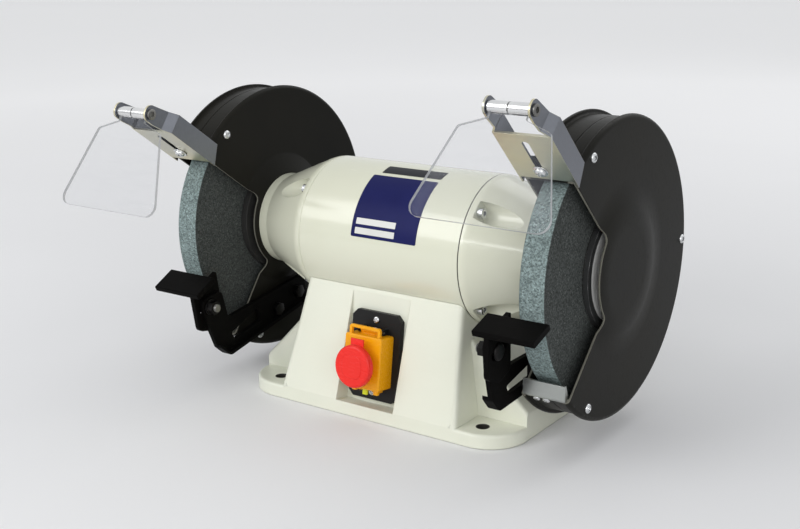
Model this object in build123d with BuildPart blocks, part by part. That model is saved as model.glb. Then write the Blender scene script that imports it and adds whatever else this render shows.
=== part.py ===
from build123d import *
import os
from dataclasses import dataclass
from math import atan2, cos, degrees, radians, sin

# Bench grinder, millimetres. The origin is the middle of the base's underside, on the bench.
# +X runs along the spindle to the right, -Y faces the user and +Z is up.
os.makedirs("parts", exist_ok=True)

# Fits
seat_gap = 0.05
running_gap = 0.06
sliding_gap = 0.2
casting_gap = 0.15
hole_gap = 0.25
moving_gap = 0.35

# Spindle and wheels
shaft_height = 165.3
wheel_offset = 203.0
wheel_radius = 125.0
wheel_width = 25.0
wheel_bore_radius = 16.0
wheel_corner = 1.0
blotter_thickness = 0.8
blotter_margin = 1.5
flange_radius = 57.0
flange_relief_radius = 36.0
flange_relief_depth = 1.5
inner_flange_thickness = 7.0
outer_flange_thickness = 5.0
flange_hub_radius = 19.0
spigot_length = 14.0
arbor_nut_thickness = 7.5
arbor_nut_radius = 17.0
shaft_end_stub = 0.5
rotor_seat_radius = 15.0
journal_radius = 12.5
thread_radius = 10.0

# Motor
motor_radius = 74.3
motor_wall = 8.0
motor_half_length = 95.6
joint_chamfer = 0.7
core_half_length = 45.0
rotor_radius = 38.0
air_gap = 0.6
winding_length = 21.0
winding_inner_radius = 44.0
winding_outer_radius = 62.0
winding_round = 7.0
lug_radius = 7.5
lug_length = 20.0

# End bells
bell_end = 172.0
bell_shoulder = 5.0
bell_ring_radius = 48.7
bell_ring_length = 10.0
bell_wall = 8.0
bell_hub_depth = 22.0
bell_hub_radius = 38.0
bell_shoulder_round = 20.0
bell_edge_round = 3.0
bell_screw_circle_radius = 66.5
bell_screw_radius = 3.0
bell_screw_head_radius = 5.0
bell_screw_head_height = 6.0
bell_screw_depth = 14.0
scoop_radius = 11.0
scoop_wall = 3.0
scoop_floor = 7.0
bearing_radius = 26.0
bearing_width = 15.0
bearing_lip = 5.0
shaft_hole_radius = 20.0

# Wheel guards
left_guard_turn_angle = 8.8
guard_back_reach = 22.8
guard_front_reach = 25.1
sheet = 2.0
rim_radius = 138.4
dish_lip_radius = 142.8
cover_lip_radius = 141.6
lip_width = 5.5
lip_shoulder_round = 4.2
lip_round = 1.0
lip_root_round = 2.0
inner_corner_round = 1.0
seam_reach = 5.0
seam_gap = 0.4
dome_top_radius = 50.0
dome_base_radius = 70.0
cover_dome_height = 4.5
dish_bore_radius = 30.0
mouth_top_angle = 135.0
mouth_bottom_angle = -136.0
mouth_arc_radius = 54.0
mouth_corner = 8.0
post_circle_radius = 131.5
post_radius = 3.3
post_angles = (120.0, 0.0, -120.0)
guard_screw_radius = 2.0
guard_screw_depth = 9.0
guard_screw_head_radius = 4.6
guard_screw_head_height = 2.6
mount_screw_circle_radius = 38.0
mount_screw_radius = 3.0
mount_screw_depth = 14.0
mount_screw_head_radius = 5.0
mount_screw_head_height = 4.0

# Shield bracket
lug_reach = 170.0
lug_half_width = 17.0
bracket_sheet = 2.0
bracket_side_gap = 1.4
bracket_depth = 20.0
bracket_slide = {"left": 6.1, "right": 0.0}
bracket_foot = 135.0
bracket_foot_slant = 8.0
web_foot = 143.0
web_top = 205.0
clamp_reach = 155.0
slot_travel = 37.0
clamp_screw_radius = 3.0
clamp_washer_radius = 7.0
clamp_washer_thickness = 1.2
clamp_head_radius = 5.0
clamp_head_height = 3.2
clamp_nut_radius = 5.8
clamp_nut_height = 5.0
hinge_reach = 233.7
hinge_rise = 2.5
hinge_half_width = 21.8
joggle_length = 9.0
ear_radius = 7.5
ear_round = 7.0

# Spark shield
hinge_bolt_radius = 3.0
hinge_bolt_head_radius = 5.2
hinge_bolt_head_height = 2.4
hinge_bolt_stub = 0.8
hinge_tube_radius = 5.5
hinge_tube_end_gap = 0.5
hinge_tube_split = 1.2
shield_thickness = 3.0
shield_seat_drop = 3.4
shield_hang_angle = {"left": 28.0, "right": 33.0}
shield_neck_half_width = 17.5
shield_neck_drop = 9.5
shield_shoulder_half_width = 42.5
shield_shoulder_drop = 18.5
shield_foot_half_width = 67.0
shield_drop = 99.0
shield_corner = 10.0

# Lower deflector
deflector_sheet = 1.6
deflector_side_gap = 1.0
deflector_lip_in = 131.2
deflector_lip_forward = 12.8
deflector_lip_out = 141.0
deflector_foot_length = 16.0
deflector_turn_angle = 0.5
deflector_screw_radius = 1.8
deflector_screw_head_radius = 3.6
deflector_screw_head_height = 1.8
deflector_screw_spacing = 10.0

# Tool rest and its arm
arm_boss_height = 5.7
arm_plate = 5.0
arm_flange = 6.0
arm_flange_wall = 3.5
arm_bolt_places = ((-8.0, -85.0), (-44.0, -91.0))
arm_end_radius = 15.0
arm_bolt_radius = 4.0
arm_bolt_head_radius = 7.4
arm_bolt_head_height = 5.3
arm_nut_height = 5.0
arm_boss_radius = 10.0
arm_corner = 7.0
arm_heel = (-118.0, -69.0)
arm_head_back = (-121.0, -36.0)
arm_head_front = (-150.0, -36.0)
arm_brow = (-148.0, -61.0)
arm_chin = (-140.0, -94.0)
arm_toe = (-129.0, -107.0)
arm_window = ((-117.5, -87.0), (-72.0, -77.0), (-72.0, -92.5), (-113.0, -96.4))
arm_window_corner = 2.0
rest_clamp_place = (-140.0, -47.0)
rest_clamp_radius = 4.0
rest_clamp_washer_radius = 8.0
rest_clamp_washer_thickness = 1.4
rest_clamp_nut_height = 6.5
rest_clamp_stub = 2.8
rest_clamp_head_radius = 8.0
rest_clamp_head_height = 2.6
rest_overhang = 9.7
rest_width = 60.0
rest_back_edge = (-133.0, -16.0)
rest_depth = 28.5
rest_tilt_angle = 18.4
rest_thickness = 6.0
rest_edge_round = 1.2
rest_leg_thickness = 5.0
rest_leg_front = -156.0
rest_leg_back = -119.0
rest_leg_foot = -76.0
rest_inward_travel = 6.5
rest_outward_travel = 12.0

# Base casting
base_length = 322.0
base_depth = 196.0
base_corner = 40.0
base_flange = 14.0
flange_round = 3.0
bench_hole_radius = 6.5
bench_hole_spacing_x = 250.0
bench_hole_spacing_y = 154.0
cradle_drop = 39.3
pedestal_foot_length = 214.0
pedestal_top_length = 188.0
pedestal_top_depth = 124.0
pedestal_round = 5.0
buttress_half_depth = 56.0
buttress_step = 27.0
buttress_slope_height = 62.0
buttress_round = 4.0
cradle_thickness = 17.0
cavity_half_length = 90.0
cavity_front = -58.0
cavity_back = 70.0
cavity_flare = 8.0
bottom_plate_sheet = 3.0
bottom_plate_recess = 6.0
bottom_plate_lap = 10.0
bottom_screw_radius = 2.0
bottom_screw_depth = 8.0
bottom_screw_head_radius = 4.0
bottom_screw_head_height = 2.4
motor_bolt_spacing_x = 120.0
motor_bolt_spacing_y = 36.0
motor_bolt_radius = 4.0
motor_bolt_head_radius = 7.4
motor_bolt_head_height = 5.3
motor_bolt_grip = 25.0

# Switch
switch_height = 60.0
switch_lean_angle = 8.3
recess_depth_at_switch = 10.6
recess_half_width = 35.0
recess_drop = 49.5
recess_rise = 80.0
switch_plate_half_width = 29.5
switch_plate_half_height = 44.3
switch_plate_thickness = 6.0
switch_plate_corner = 6.0
switch_window_half_width = 17.0
switch_window_half_height = 21.0
switch_body_depth = 30.0
switch_body_half_width = 21.0
switch_body_half_height = 25.0
switch_screw_offset = 36.5
switch_screw_radius = 2.0
switch_screw_head_radius = 3.6
switch_screw_head_height = 2.0
switch_screw_depth = 12.0
button_half_width = 8.0
button_half_height = 6.5
button_pitch = 17.0
button_travel = 3.0
button_stand = 6.0
button_skirt = 10.0
button_corner = 1.5
lid_drop = 3.0
lid_half_width = 22.0
lid_half_height = 26.5
lid_depth = 20.6
lid_wall = 2.0
lid_round = 2.5
lid_front_round = 1.5
lid_hinge_rise = 3.4
lid_hinge_stand = 8.0
lid_pin_radius = 1.4
lid_knuckle_radius = 2.8
lid_knuckle_half_width = 11.0
lid_ear_width = 4.0
lid_loop_half_width = 18.5
lid_loop_height = 9.0
lid_loop_bar = 3.0
lid_loop_set_back = 2.0
lid_latch_width = 8.0
lid_latch_length = 4.5
lid_latch_depth = 7.0
knob_drop = 2.3
knob_radius = 21.2
knob_stand = 9.7
knob_thickness = 6.5
knob_crown = 3.0
knob_stem_radius = 8.0
knob_stem_reach = 6.0
knob_plunger_radius = 3.5
knob_tab_half_width = 7.5
knob_tab_rise = 26.8
knob_tab_thickness = 1.6

# Cable gland in the back of the base
gland_place_x = -55.0
gland_height = 44.0
gland_hex_radius = 13.0
gland_hex_length = 6.0
gland_nut_radius = 11.0
gland_nut_length = 12.0
gland_mouth_radius = 5.0
gland_crown = 4.0
gland_thread_radius = 9.8
gland_wall_reach = 22.0


@dataclass(frozen=True)
class Hand:
    """One end of the grinder: its name, its side of the middle plane and the turn of its guard."""

    name: str
    side: int
    clock: float


left = Hand("left", -1, left_guard_turn_angle)
right = Hand("right", 1, 0.0)
hands = (left, right)
shaft_axis = Axis((0, 0, shaft_height), (1, 0, 0))

# Places along the shaft, measured outward from the middle plane
wheel_in = wheel_offset - wheel_width / 2
wheel_out = wheel_offset + wheel_width / 2
inner_flange_out = wheel_in - blotter_thickness
inner_flange_in = inner_flange_out - inner_flange_thickness
outer_flange_in = wheel_out + blotter_thickness
outer_flange_out = outer_flange_in + outer_flange_thickness
nut_out = outer_flange_out + arbor_nut_thickness
shaft_end = nut_out + shaft_end_stub
bearing_out = bell_end - bearing_lip
bearing_in = bearing_out - bearing_width
guard_back = wheel_offset - guard_back_reach
guard_front = wheel_offset + guard_front_reach
hinge_middle = (guard_back + guard_front) / 2
hinge_in = hinge_middle - hinge_half_width
hinge_out = hinge_middle + hinge_half_width
rim_bore = rim_radius - sheet
seam = wheel_offset + seam_reach
lip_end = guard_back + lip_width
bell_seat = motor_half_length + scoop_floor
arm_wheel_side = guard_back - arm_boss_height
arm_reach = arm_wheel_side - arm_plate
leg_reach = arm_wheel_side + sliding_gap
rest_inner_reach = leg_reach - rest_overhang
cavity_roof = shaft_height - motor_radius - cradle_thickness
pedestal_top = shaft_height - cradle_drop


def polar(radius, angle):
    """Point at a radius and an angle in degrees, as (back, up) from the shaft axis."""
    return (radius * cos(radians(angle)), radius * sin(radians(angle)))


def end_plane(hand, reach):
    """Plane square to the shaft at a distance from the middle, with local axes back and up."""
    return Plane((hand.side * reach, 0, shaft_height), x_dir=(0, 1, 0), z_dir=(1, 0, 0))


def guard_plane(hand, reach):
    """As end_plane, turned about the shaft with the guard of that hand."""
    back, up = polar(1, hand.clock)
    return Plane((hand.side * reach, 0, shaft_height), x_dir=(0, back, up), z_dir=(1, 0, 0))


def mouth_plane(hand, lift):
    """Plane along the mouth's upper edge: local axes run out from the shaft and away from the motor."""
    back, up = polar(1, mouth_top_angle + hand.clock)
    origin = (0, lift * up, shaft_height - lift * back)
    return Plane(origin, x_dir=(0, back, up), z_dir=(0, hand.side * up, -hand.side * back))


def outline_face(plane, points, rounds=None):
    """Closed outline on a plane; rounds maps a point's place in the list to its corner radius."""
    with BuildSketch(plane) as outline:
        with BuildLine():
            Polyline(*points, close=True)
        make_face()
        for place, radius in (rounds or {}).items():
            fillet(outline.vertices().sort_by_distance(points[place])[:1], radius)
    return outline.sketch


def turned_face(hand, points, rounds=None):
    """Section to be turned about the shaft: points are (distance outward, radius)."""
    plane = Plane((0, 0, shaft_height), x_dir=(hand.side, 0, 0), z_dir=(0, -hand.side, 0))
    return outline_face(plane, points, rounds)


def mouth_face(plane):
    """The guard's open sector: all in front of the two radial edges and outside the hub arc."""
    far = 2 * dish_lip_radius
    top = polar(far, mouth_top_angle)
    bottom = polar(far, mouth_bottom_angle)
    with BuildSketch(plane) as mouth:
        with BuildLine():
            Polyline((0, 0), top, (-far, top[1]), (-far, bottom[1]), bottom, close=True)
        make_face()
        Circle(mouth_arc_radius, mode=Mode.SUBTRACT)
        fillet(mouth.vertices().sort_by_distance((0, 0))[:2], mouth_corner)
    return mouth.sketch


def keep(piece, label):
    """Name a finished piece and write it."""
    piece.part.label = label
    export_step(piece.part, f"parts/{label}.step")


def both_ends(half):
    """Mirror half a turned section, given from the middle outward, to the other end."""
    return half + [(-reach, radius) for reach, radius in reversed(half)]


# Base casting: flange, side buttresses and a pedestal that cradles the motor
switch_foot_lean = radians(switch_lean_angle)
front_lean = (base_depth - pedestal_top_depth) / 2 / (pedestal_top - base_flange)
front_at_switch = -base_depth / 2 + (switch_height - base_flange) * front_lean
switch_floor = front_at_switch + recess_depth_at_switch
switch_out = (0, -cos(switch_foot_lean), sin(switch_foot_lean))


def switch_plane(stand):
    """Plane parallel to the switch recess's floor, that far in front of it; local Y points up."""
    origin = (0, switch_floor + stand * switch_out[1], switch_height + stand * switch_out[2])
    return Plane(origin, x_dir=(1, 0, 0), z_dir=switch_out)


back_lean_angle = atan2(base_depth / 2 - pedestal_top_depth / 2, pedestal_top - base_flange)
gland_out = (0, cos(back_lean_angle), sin(back_lean_angle))
gland_face = base_depth / 2 - (gland_height - base_flange) * front_lean


def gland_plane(stand):
    """Plane parallel to the back face of the pedestal, that far outside it, at the cable gland."""
    origin = (gland_place_x, gland_face + stand * gland_out[1], gland_height + stand * gland_out[2])
    return Plane(origin, x_dir=(-1, 0, 0), z_dir=gland_out)


cavity_middle = (cavity_front + cavity_back) / 2
cavity_length = 2 * cavity_half_length
cavity_depth = cavity_back - cavity_front
ledge_length = cavity_length + 2 * cavity_flare + 2 * bottom_plate_lap
ledge_depth = cavity_depth + 2 * cavity_flare + 2 * bottom_plate_lap
bottom_screw_x = ledge_length - bottom_plate_lap
bottom_screw_y = ledge_depth - bottom_plate_lap

buttress_half_length = base_length / 2
slope_end = buttress_half_length - buttress_slope_height
buttress = [
    (buttress_half_length, 0),
    (buttress_half_length, buttress_step),
    (slope_end, buttress_step + buttress_slope_height),
    (-slope_end, buttress_step + buttress_slope_height),
    (-buttress_half_length, buttress_step),
    (-buttress_half_length, 0),
]
with BuildPart() as buttresses:
    extrude(outline_face(Plane.XZ, buttress), amount=buttress_half_depth, both=True)
    upper_edges = buttresses.edges().filter_by(lambda edge: edge.center().Z > buttress_step - casting_gap)
    fillet(upper_edges, buttress_round)


def on_flange_rim(edge):
    """True for an edge of the flange's top that lies on its outside, clear of the pedestal."""
    middle = edge.center()
    on_top = abs(middle.Z - base_flange) < casting_gap
    at_end = abs(abs(middle.X) - buttress_half_length) < casting_gap
    at_corner = abs(middle.X) > pedestal_foot_length / 2 and abs(middle.Y) > base_depth / 2 - base_corner / 2
    return on_top and (at_end or at_corner)


with BuildPart() as base:
    with BuildSketch():
        RectangleRounded(base_length, base_depth, base_corner)
    extrude(amount=base_flange)
    with BuildSketch(Plane.XY.offset(base_flange)):
        Rectangle(pedestal_foot_length, base_depth)
    with BuildSketch(Plane.XY.offset(pedestal_top)):
        Rectangle(pedestal_top_length, pedestal_top_depth)
    loft()
    corners = base.edges().filter_by(lambda edge: edge.length > pedestal_top - base_flange)
    corners = corners.filter_by(lambda edge: abs(edge.tangent_at(0).Z) > 0.5)
    fillet(corners, pedestal_round)
    add(buttresses.part)
    fillet(base.edges().filter_by(on_flange_rim), flange_round)
    with BuildSketch(end_plane(right, 0)):
        Circle(motor_radius + casting_gap)
    extrude(amount=base_length, both=True, mode=Mode.SUBTRACT)
    with BuildSketch(switch_plane(0)):
        with Locations((0, (recess_rise - recess_drop) / 2)):
            Rectangle(2 * recess_half_width, recess_rise + recess_drop)
    extrude(amount=base_depth, mode=Mode.SUBTRACT)
    with BuildSketch(Plane.XY.offset(bottom_plate_recess)):
        with Locations((0, cavity_middle)):
            Rectangle(cavity_length + 2 * cavity_flare, cavity_depth + 2 * cavity_flare)
    with BuildSketch(Plane.XY.offset(cavity_roof)):
        with Locations((0, cavity_middle)):
            Rectangle(cavity_length, cavity_depth)
    loft(mode=Mode.SUBTRACT)
    with BuildSketch():
        with Locations((0, cavity_middle)):
            Rectangle(ledge_length, ledge_depth)
    extrude(amount=bottom_plate_recess, mode=Mode.SUBTRACT)
    with BuildSketch(Plane.XY.offset(bottom_plate_recess)):
        with Locations((0, cavity_middle)):
            with GridLocations(bottom_screw_x, bottom_screw_y, 2, 2):
                Circle(bottom_screw_radius + seat_gap)
    extrude(amount=bottom_screw_depth, mode=Mode.SUBTRACT)
    with BuildSketch():
        with GridLocations(bench_hole_spacing_x, bench_hole_spacing_y, 2, 2):
            Circle(bench_hole_radius)
    extrude(amount=base_flange, mode=Mode.SUBTRACT)
    with BuildSketch(Plane.XY.offset(cavity_roof)):
        with GridLocations(motor_bolt_spacing_x, motor_bolt_spacing_y, 2, 2):
            Circle(motor_bolt_radius + hole_gap)
    extrude(amount=motor_bolt_grip, mode=Mode.SUBTRACT)
    with BuildSketch(switch_plane(0)):
        Rectangle(2 * (switch_body_half_width + hole_gap), 2 * (switch_body_half_height + hole_gap))
    extrude(amount=-switch_body_depth - hole_gap, mode=Mode.SUBTRACT)
    with BuildSketch(switch_plane(0)):
        with GridLocations(1, 2 * switch_screw_offset, 1, 2):
            Circle(switch_screw_radius + seat_gap)
    extrude(amount=-switch_screw_depth, mode=Mode.SUBTRACT)
    with BuildSketch(gland_plane(0)):
        Circle(gland_thread_radius + hole_gap)
    extrude(amount=-2 * gland_wall_reach, mode=Mode.SUBTRACT)
keep(base, "base_casting")

with BuildPart() as bottom_plate:
    with BuildSketch(Plane.XY.offset(bottom_plate_recess - bottom_plate_sheet)):
        with Locations((0, cavity_middle)):
            Rectangle(ledge_length - 2 * sliding_gap, ledge_depth - 2 * sliding_gap)
            with GridLocations(bottom_screw_x, bottom_screw_y, 2, 2):
                Circle(bottom_screw_radius + hole_gap, mode=Mode.SUBTRACT)
    extrude(amount=bottom_plate_sheet)
keep(bottom_plate, "bottom_plate")

with BuildPart() as bottom_screws:
    for radius, length in (
        (bottom_screw_head_radius, -bottom_screw_head_height),
        (bottom_screw_radius, bottom_plate_sheet + bottom_screw_depth - seat_gap),
    ):
        with BuildSketch(Plane.XY.offset(bottom_plate_recess - bottom_plate_sheet)):
            with Locations((0, cavity_middle)):
                with GridLocations(bottom_screw_x, bottom_screw_y, 2, 2):
                    Circle(radius)
        extrude(amount=length)
keep(bottom_screws, "bottom_plate_screws")

# Motor housing: a tube with screw lugs inside each end
motor_bore = motor_radius - motor_wall
with BuildPart() as housing:
    with BuildSketch(end_plane(right, 0)):
        Circle(motor_radius)
    extrude(amount=motor_half_length, both=True)
    chamfer(housing.edges().filter_by(GeomType.CIRCLE), joint_chamfer)
    with BuildSketch(end_plane(right, 0)):
        Circle(motor_bore)
    extrude(amount=motor_half_length, both=True, mode=Mode.SUBTRACT)
    for hand in hands:
        with BuildSketch(end_plane(hand, motor_half_length)):
            with PolarLocations(bell_screw_circle_radius, 4, start_angle=45):
                Circle(lug_radius)
            Circle(motor_bore + motor_wall / 2, mode=Mode.INTERSECT)
        extrude(amount=-hand.side * lug_length)
        with BuildSketch(end_plane(hand, motor_half_length)):
            with PolarLocations(bell_screw_circle_radius, 4, start_angle=45):
                Circle(bell_screw_radius + seat_gap)
        extrude(amount=-hand.side * bell_screw_depth, mode=Mode.SUBTRACT)
    with BuildSketch(Plane.XY.offset(cavity_roof)):
        with GridLocations(motor_bolt_spacing_x, motor_bolt_spacing_y, 2, 2):
            Circle(motor_bolt_radius + seat_gap)
    extrude(amount=motor_bolt_grip, mode=Mode.SUBTRACT)
keep(housing, "motor_housing")

with BuildPart() as motor_bolts:
    with BuildSketch(Plane.XY.offset(cavity_roof)):
        with GridLocations(motor_bolt_spacing_x, motor_bolt_spacing_y, 2, 2):
            RegularPolygon(motor_bolt_head_radius, 6)
    extrude(amount=-motor_bolt_head_height)
    with BuildSketch(Plane.XY.offset(cavity_roof)):
        with GridLocations(motor_bolt_spacing_x, motor_bolt_spacing_y, 2, 2):
            Circle(motor_bolt_radius)
    extrude(amount=motor_bolt_grip - seat_gap)
keep(motor_bolts, "motor_bolts")

with BuildPart() as stator:
    with BuildSketch(end_plane(right, 0)):
        Circle(motor_bore - seat_gap)
        Circle(rotor_radius + air_gap, mode=Mode.SUBTRACT)
    extrude(amount=core_half_length, both=True)
keep(stator, "stator_core")

with BuildPart() as windings:
    for hand in hands:
        coil = [
            (core_half_length, winding_inner_radius),
            (core_half_length + winding_length, winding_inner_radius),
            (core_half_length + winding_length, winding_outer_radius),
            (core_half_length, winding_outer_radius),
        ]
        revolve(turned_face(hand, coil, {1: winding_round, 2: winding_round}), axis=shaft_axis)
keep(windings, "stator_windings")

# Spindle: shaft and rotor
rotor_half_seat = bearing_in - bearing_width
shaft_half = [
    (rotor_half_seat, rotor_seat_radius),
    (rotor_half_seat, journal_radius),
    (wheel_offset, journal_radius),
    (wheel_offset, thread_radius),
    (shaft_end, thread_radius),
    (shaft_end, 0),
]
with BuildPart() as shaft:
    revolve(turned_face(right, both_ends(shaft_half)), axis=shaft_axis)
keep(shaft, "spindle_shaft")

with BuildPart() as rotor:
    with BuildSketch(end_plane(right, 0)):
        Circle(rotor_radius)
        Circle(rotor_seat_radius + seat_gap, mode=Mode.SUBTRACT)
    extrude(amount=core_half_length, both=True)
keep(rotor, "rotor_core")


def make_end_bell(hand):
    """Cast cone that carries a bearing, scooped out round each of its four screws."""
    ring_start = bell_end - bell_ring_length
    shoulder_end = motor_half_length + bell_shoulder
    hub_in = bell_end - bell_hub_depth
    cone = [
        (motor_half_length, 0),
        (motor_half_length, motor_radius - joint_chamfer),
        (motor_half_length + joint_chamfer, motor_radius),
        (shoulder_end, motor_radius),
        (ring_start, bell_ring_radius),
        (bell_end, bell_ring_radius),
        (bell_end, 0),
    ]
    cavity = [
        (motor_half_length, 0),
        (motor_half_length, motor_bore),
        (shoulder_end, motor_radius - bell_wall),
        (hub_in, bell_hub_radius),
        (hub_in, 0),
    ]
    seat = [
        (hub_in, 0),
        (hub_in, bearing_radius + seat_gap),
        (bearing_out, bearing_radius + seat_gap),
        (bearing_out, shaft_hole_radius),
        (bell_end, shaft_hole_radius),
        (bell_end, 0),
    ]
    with BuildPart() as hollow:
        revolve(turned_face(hand, cavity), axis=shaft_axis)
        with BuildSketch(end_plane(hand, motor_half_length)):
            with PolarLocations(bell_screw_circle_radius, 4, start_angle=45):
                Circle(scoop_radius + scoop_wall)
        extrude(amount=hand.side * (bell_end - motor_half_length), mode=Mode.SUBTRACT)
    with BuildPart() as bell:
        revolve(turned_face(hand, cone, {3: bell_shoulder_round, 4: bell_edge_round}), axis=shaft_axis)
        add(hollow.part, mode=Mode.SUBTRACT)
        revolve(turned_face(hand, seat), axis=shaft_axis, mode=Mode.SUBTRACT)
        with BuildSketch(end_plane(hand, bell_seat)):
            with PolarLocations(bell_screw_circle_radius, 4, start_angle=45):
                Circle(scoop_radius)
        extrude(amount=hand.side * (bell_end - bell_seat), mode=Mode.SUBTRACT)
        with BuildSketch(end_plane(hand, motor_half_length)):
            with PolarLocations(bell_screw_circle_radius, 4, start_angle=45):
                Circle(bell_screw_radius + hole_gap)
        extrude(amount=hand.side * scoop_floor, mode=Mode.SUBTRACT)
        with BuildSketch(guard_plane(hand, bell_end)):
            with PolarLocations(mount_screw_circle_radius, 4, start_angle=45):
                Circle(mount_screw_radius + seat_gap)
        extrude(amount=-hand.side * mount_screw_depth, mode=Mode.SUBTRACT)
    keep(bell, f"{hand.name}_end_bell")


def make_bearing(hand):
    """Sealed ball bearing as one ring, a running fit on the shaft."""
    with BuildPart() as bearing:
        with BuildSketch(end_plane(hand, bearing_in)):
            Circle(bearing_radius)
            Circle(journal_radius + running_gap, mode=Mode.SUBTRACT)
        extrude(amount=hand.side * bearing_width)
    keep(bearing, f"{hand.name}_bearing")


# Corner radii of a guard half's section: shoulder, lip, root of the lip and the corner inside
rim_rounds = {3: lip_shoulder_round, 4: lip_round, 5: lip_root_round, 8: inner_corner_round}


def make_guard_dish(hand):
    """Inner half of the guard: a pressed dish with a lug turned outward at the mouth's upper edge."""
    wall = [
        (bell_end, dish_bore_radius),
        (bell_end, dome_top_radius),
        (guard_back, dome_base_radius),
        (guard_back, dish_lip_radius),
        (lip_end, dish_lip_radius),
        (lip_end, rim_radius),
        (seam, rim_radius),
        (seam, rim_bore),
        (guard_back + sheet, rim_bore),
        (guard_back + sheet, dome_base_radius),
        (bell_end + sheet, dome_top_radius),
        (bell_end + sheet, dish_bore_radius),
    ]
    lug_end = wheel_offset + lug_half_width
    lug = [
        (rim_bore, lip_end),
        (rim_bore, seam),
        (rim_radius + seam_gap, seam),
        (rim_radius + seam_gap, lug_end),
        (lug_reach, lug_end),
        (lug_reach, lip_end),
    ]
    with BuildPart() as dish:
        revolve(turned_face(hand, wall, rim_rounds), axis=shaft_axis)
        extrude(mouth_face(guard_plane(hand, 0)), amount=hand.side * 2 * wheel_offset, mode=Mode.SUBTRACT)
        extrude(outline_face(mouth_plane(hand, 0), lug), amount=hand.side * sheet)
        with BuildSketch(mouth_plane(hand, 0)):
            with Locations((clamp_reach, wheel_offset)):
                Circle(clamp_screw_radius + hole_gap)
        extrude(amount=hand.side * sheet, mode=Mode.SUBTRACT)
        with BuildSketch(guard_plane(hand, guard_back)):
            with Locations(*[polar(post_circle_radius, angle) for angle in post_angles]):
                Circle(guard_screw_radius + hole_gap)
            with Locations(*arm_bolt_places):
                Circle(arm_bolt_radius + hole_gap)
        extrude(amount=hand.side * sheet, mode=Mode.SUBTRACT)
        with BuildSketch(guard_plane(hand, bell_end)):
            with PolarLocations(mount_screw_circle_radius, 4, start_angle=45):
                Circle(mount_screw_radius + hole_gap)
        extrude(amount=hand.side * sheet, mode=Mode.SUBTRACT)
        for plane in deflector_screw_planes(hand, 0):
            with BuildSketch(plane):
                Circle(deflector_screw_radius + hole_gap)
            extrude(amount=2 * sheet, both=True, mode=Mode.SUBTRACT)
    keep(dish, f"{hand.name}_guard_dish")


def make_guard_cover(hand):
    """Outer half of the guard: a shallow domed plate whose rim meets the dish's rim at a seam."""
    inner = guard_front - sheet
    rim_start = seam + seam_gap
    wall = [
        (guard_front + cover_dome_height, 0),
        (guard_front + cover_dome_height, dome_top_radius),
        (guard_front, dome_base_radius),
        (guard_front, cover_lip_radius),
        (guard_front - lip_width, cover_lip_radius),
        (guard_front - lip_width, rim_radius),
        (rim_start, rim_radius),
        (rim_start, rim_bore),
        (inner, rim_bore),
        (inner, dome_base_radius),
        (inner + cover_dome_height, dome_top_radius),
        (inner + cover_dome_height, 0),
    ]
    with BuildPart() as cover:
        revolve(turned_face(hand, wall, rim_rounds), axis=shaft_axis)
        extrude(mouth_face(guard_plane(hand, 0)), amount=hand.side * 2 * wheel_offset, mode=Mode.SUBTRACT)
        with BuildSketch(guard_plane(hand, inner)):
            with Locations(*[polar(post_circle_radius, angle) for angle in post_angles]):
                Circle(guard_screw_radius + hole_gap)
        extrude(amount=hand.side * sheet, mode=Mode.SUBTRACT)
    keep(cover, f"{hand.name}_guard_cover")


def deflector_screw_planes(hand, stand):
    """Planes square to the rim at the deflector's two screws, that far out from the dish's rim."""
    foot_angle = degrees(deflector_foot_length / 2 / rim_radius)
    back, up = polar(1, mouth_bottom_angle + foot_angle + hand.clock)
    radius = rim_radius + stand
    rim_middle = (lip_end + seam) / 2
    places = (rim_middle - deflector_screw_spacing / 2, rim_middle + deflector_screw_spacing / 2)
    planes = []
    for place in places:
        origin = (hand.side * place, radius * back, shaft_height + radius * up)
        planes.append(Plane(origin, x_dir=(1, 0, 0), z_dir=(0, back, up)))
    return planes


def make_deflector(hand):
    """Galvanised lip at the mouth's lower edge, on a foot that lies inside the dish's rim."""
    start = guard_back + sheet + deflector_side_gap
    end = guard_front - sheet - deflector_side_gap
    foot_out = rim_bore - casting_gap
    foot_in = foot_out - deflector_sheet
    foot_turn = degrees(deflector_foot_length / rim_radius)
    foot = [(lip_end, foot_in), (seam, foot_in), (seam, foot_out), (lip_end, foot_out)]
    edge_back, edge_up = polar(1, mouth_bottom_angle)

    def place(radius, forward):
        """Point that far from the shaft along the lower edge and that far in front of it."""
        return (radius * edge_back + forward * edge_up, radius * edge_up - forward * edge_back)

    lip = [
        place(deflector_lip_out, casting_gap),
        place(foot_in, casting_gap),
        place(deflector_lip_in - deflector_sheet, deflector_lip_forward - deflector_sheet),
        place(deflector_lip_in, deflector_lip_forward),
        place(deflector_lip_out, 2 * deflector_sheet),
    ]
    with BuildPart() as deflector:
        revolve(turned_face(hand, foot), axis=shaft_axis)
        with BuildSketch(guard_plane(hand, 0)):
            with BuildLine():
                far = 2 * dish_lip_radius
                Polyline(
                    (0, 0),
                    polar(far, mouth_bottom_angle - deflector_turn_angle),
                    polar(far, mouth_bottom_angle + foot_turn),
                    close=True,
                )
            make_face()
        extrude(amount=hand.side * 2 * wheel_offset, mode=Mode.INTERSECT)
        extrude(outline_face(guard_plane(hand, start), lip), amount=hand.side * (end - start))
        for plane in deflector_screw_planes(hand, -sheet):
            with BuildSketch(plane):
                Circle(deflector_screw_radius + seat_gap)
            extrude(amount=-2 * deflector_sheet, mode=Mode.SUBTRACT)
    keep(deflector, f"{hand.name}_deflector")


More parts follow.
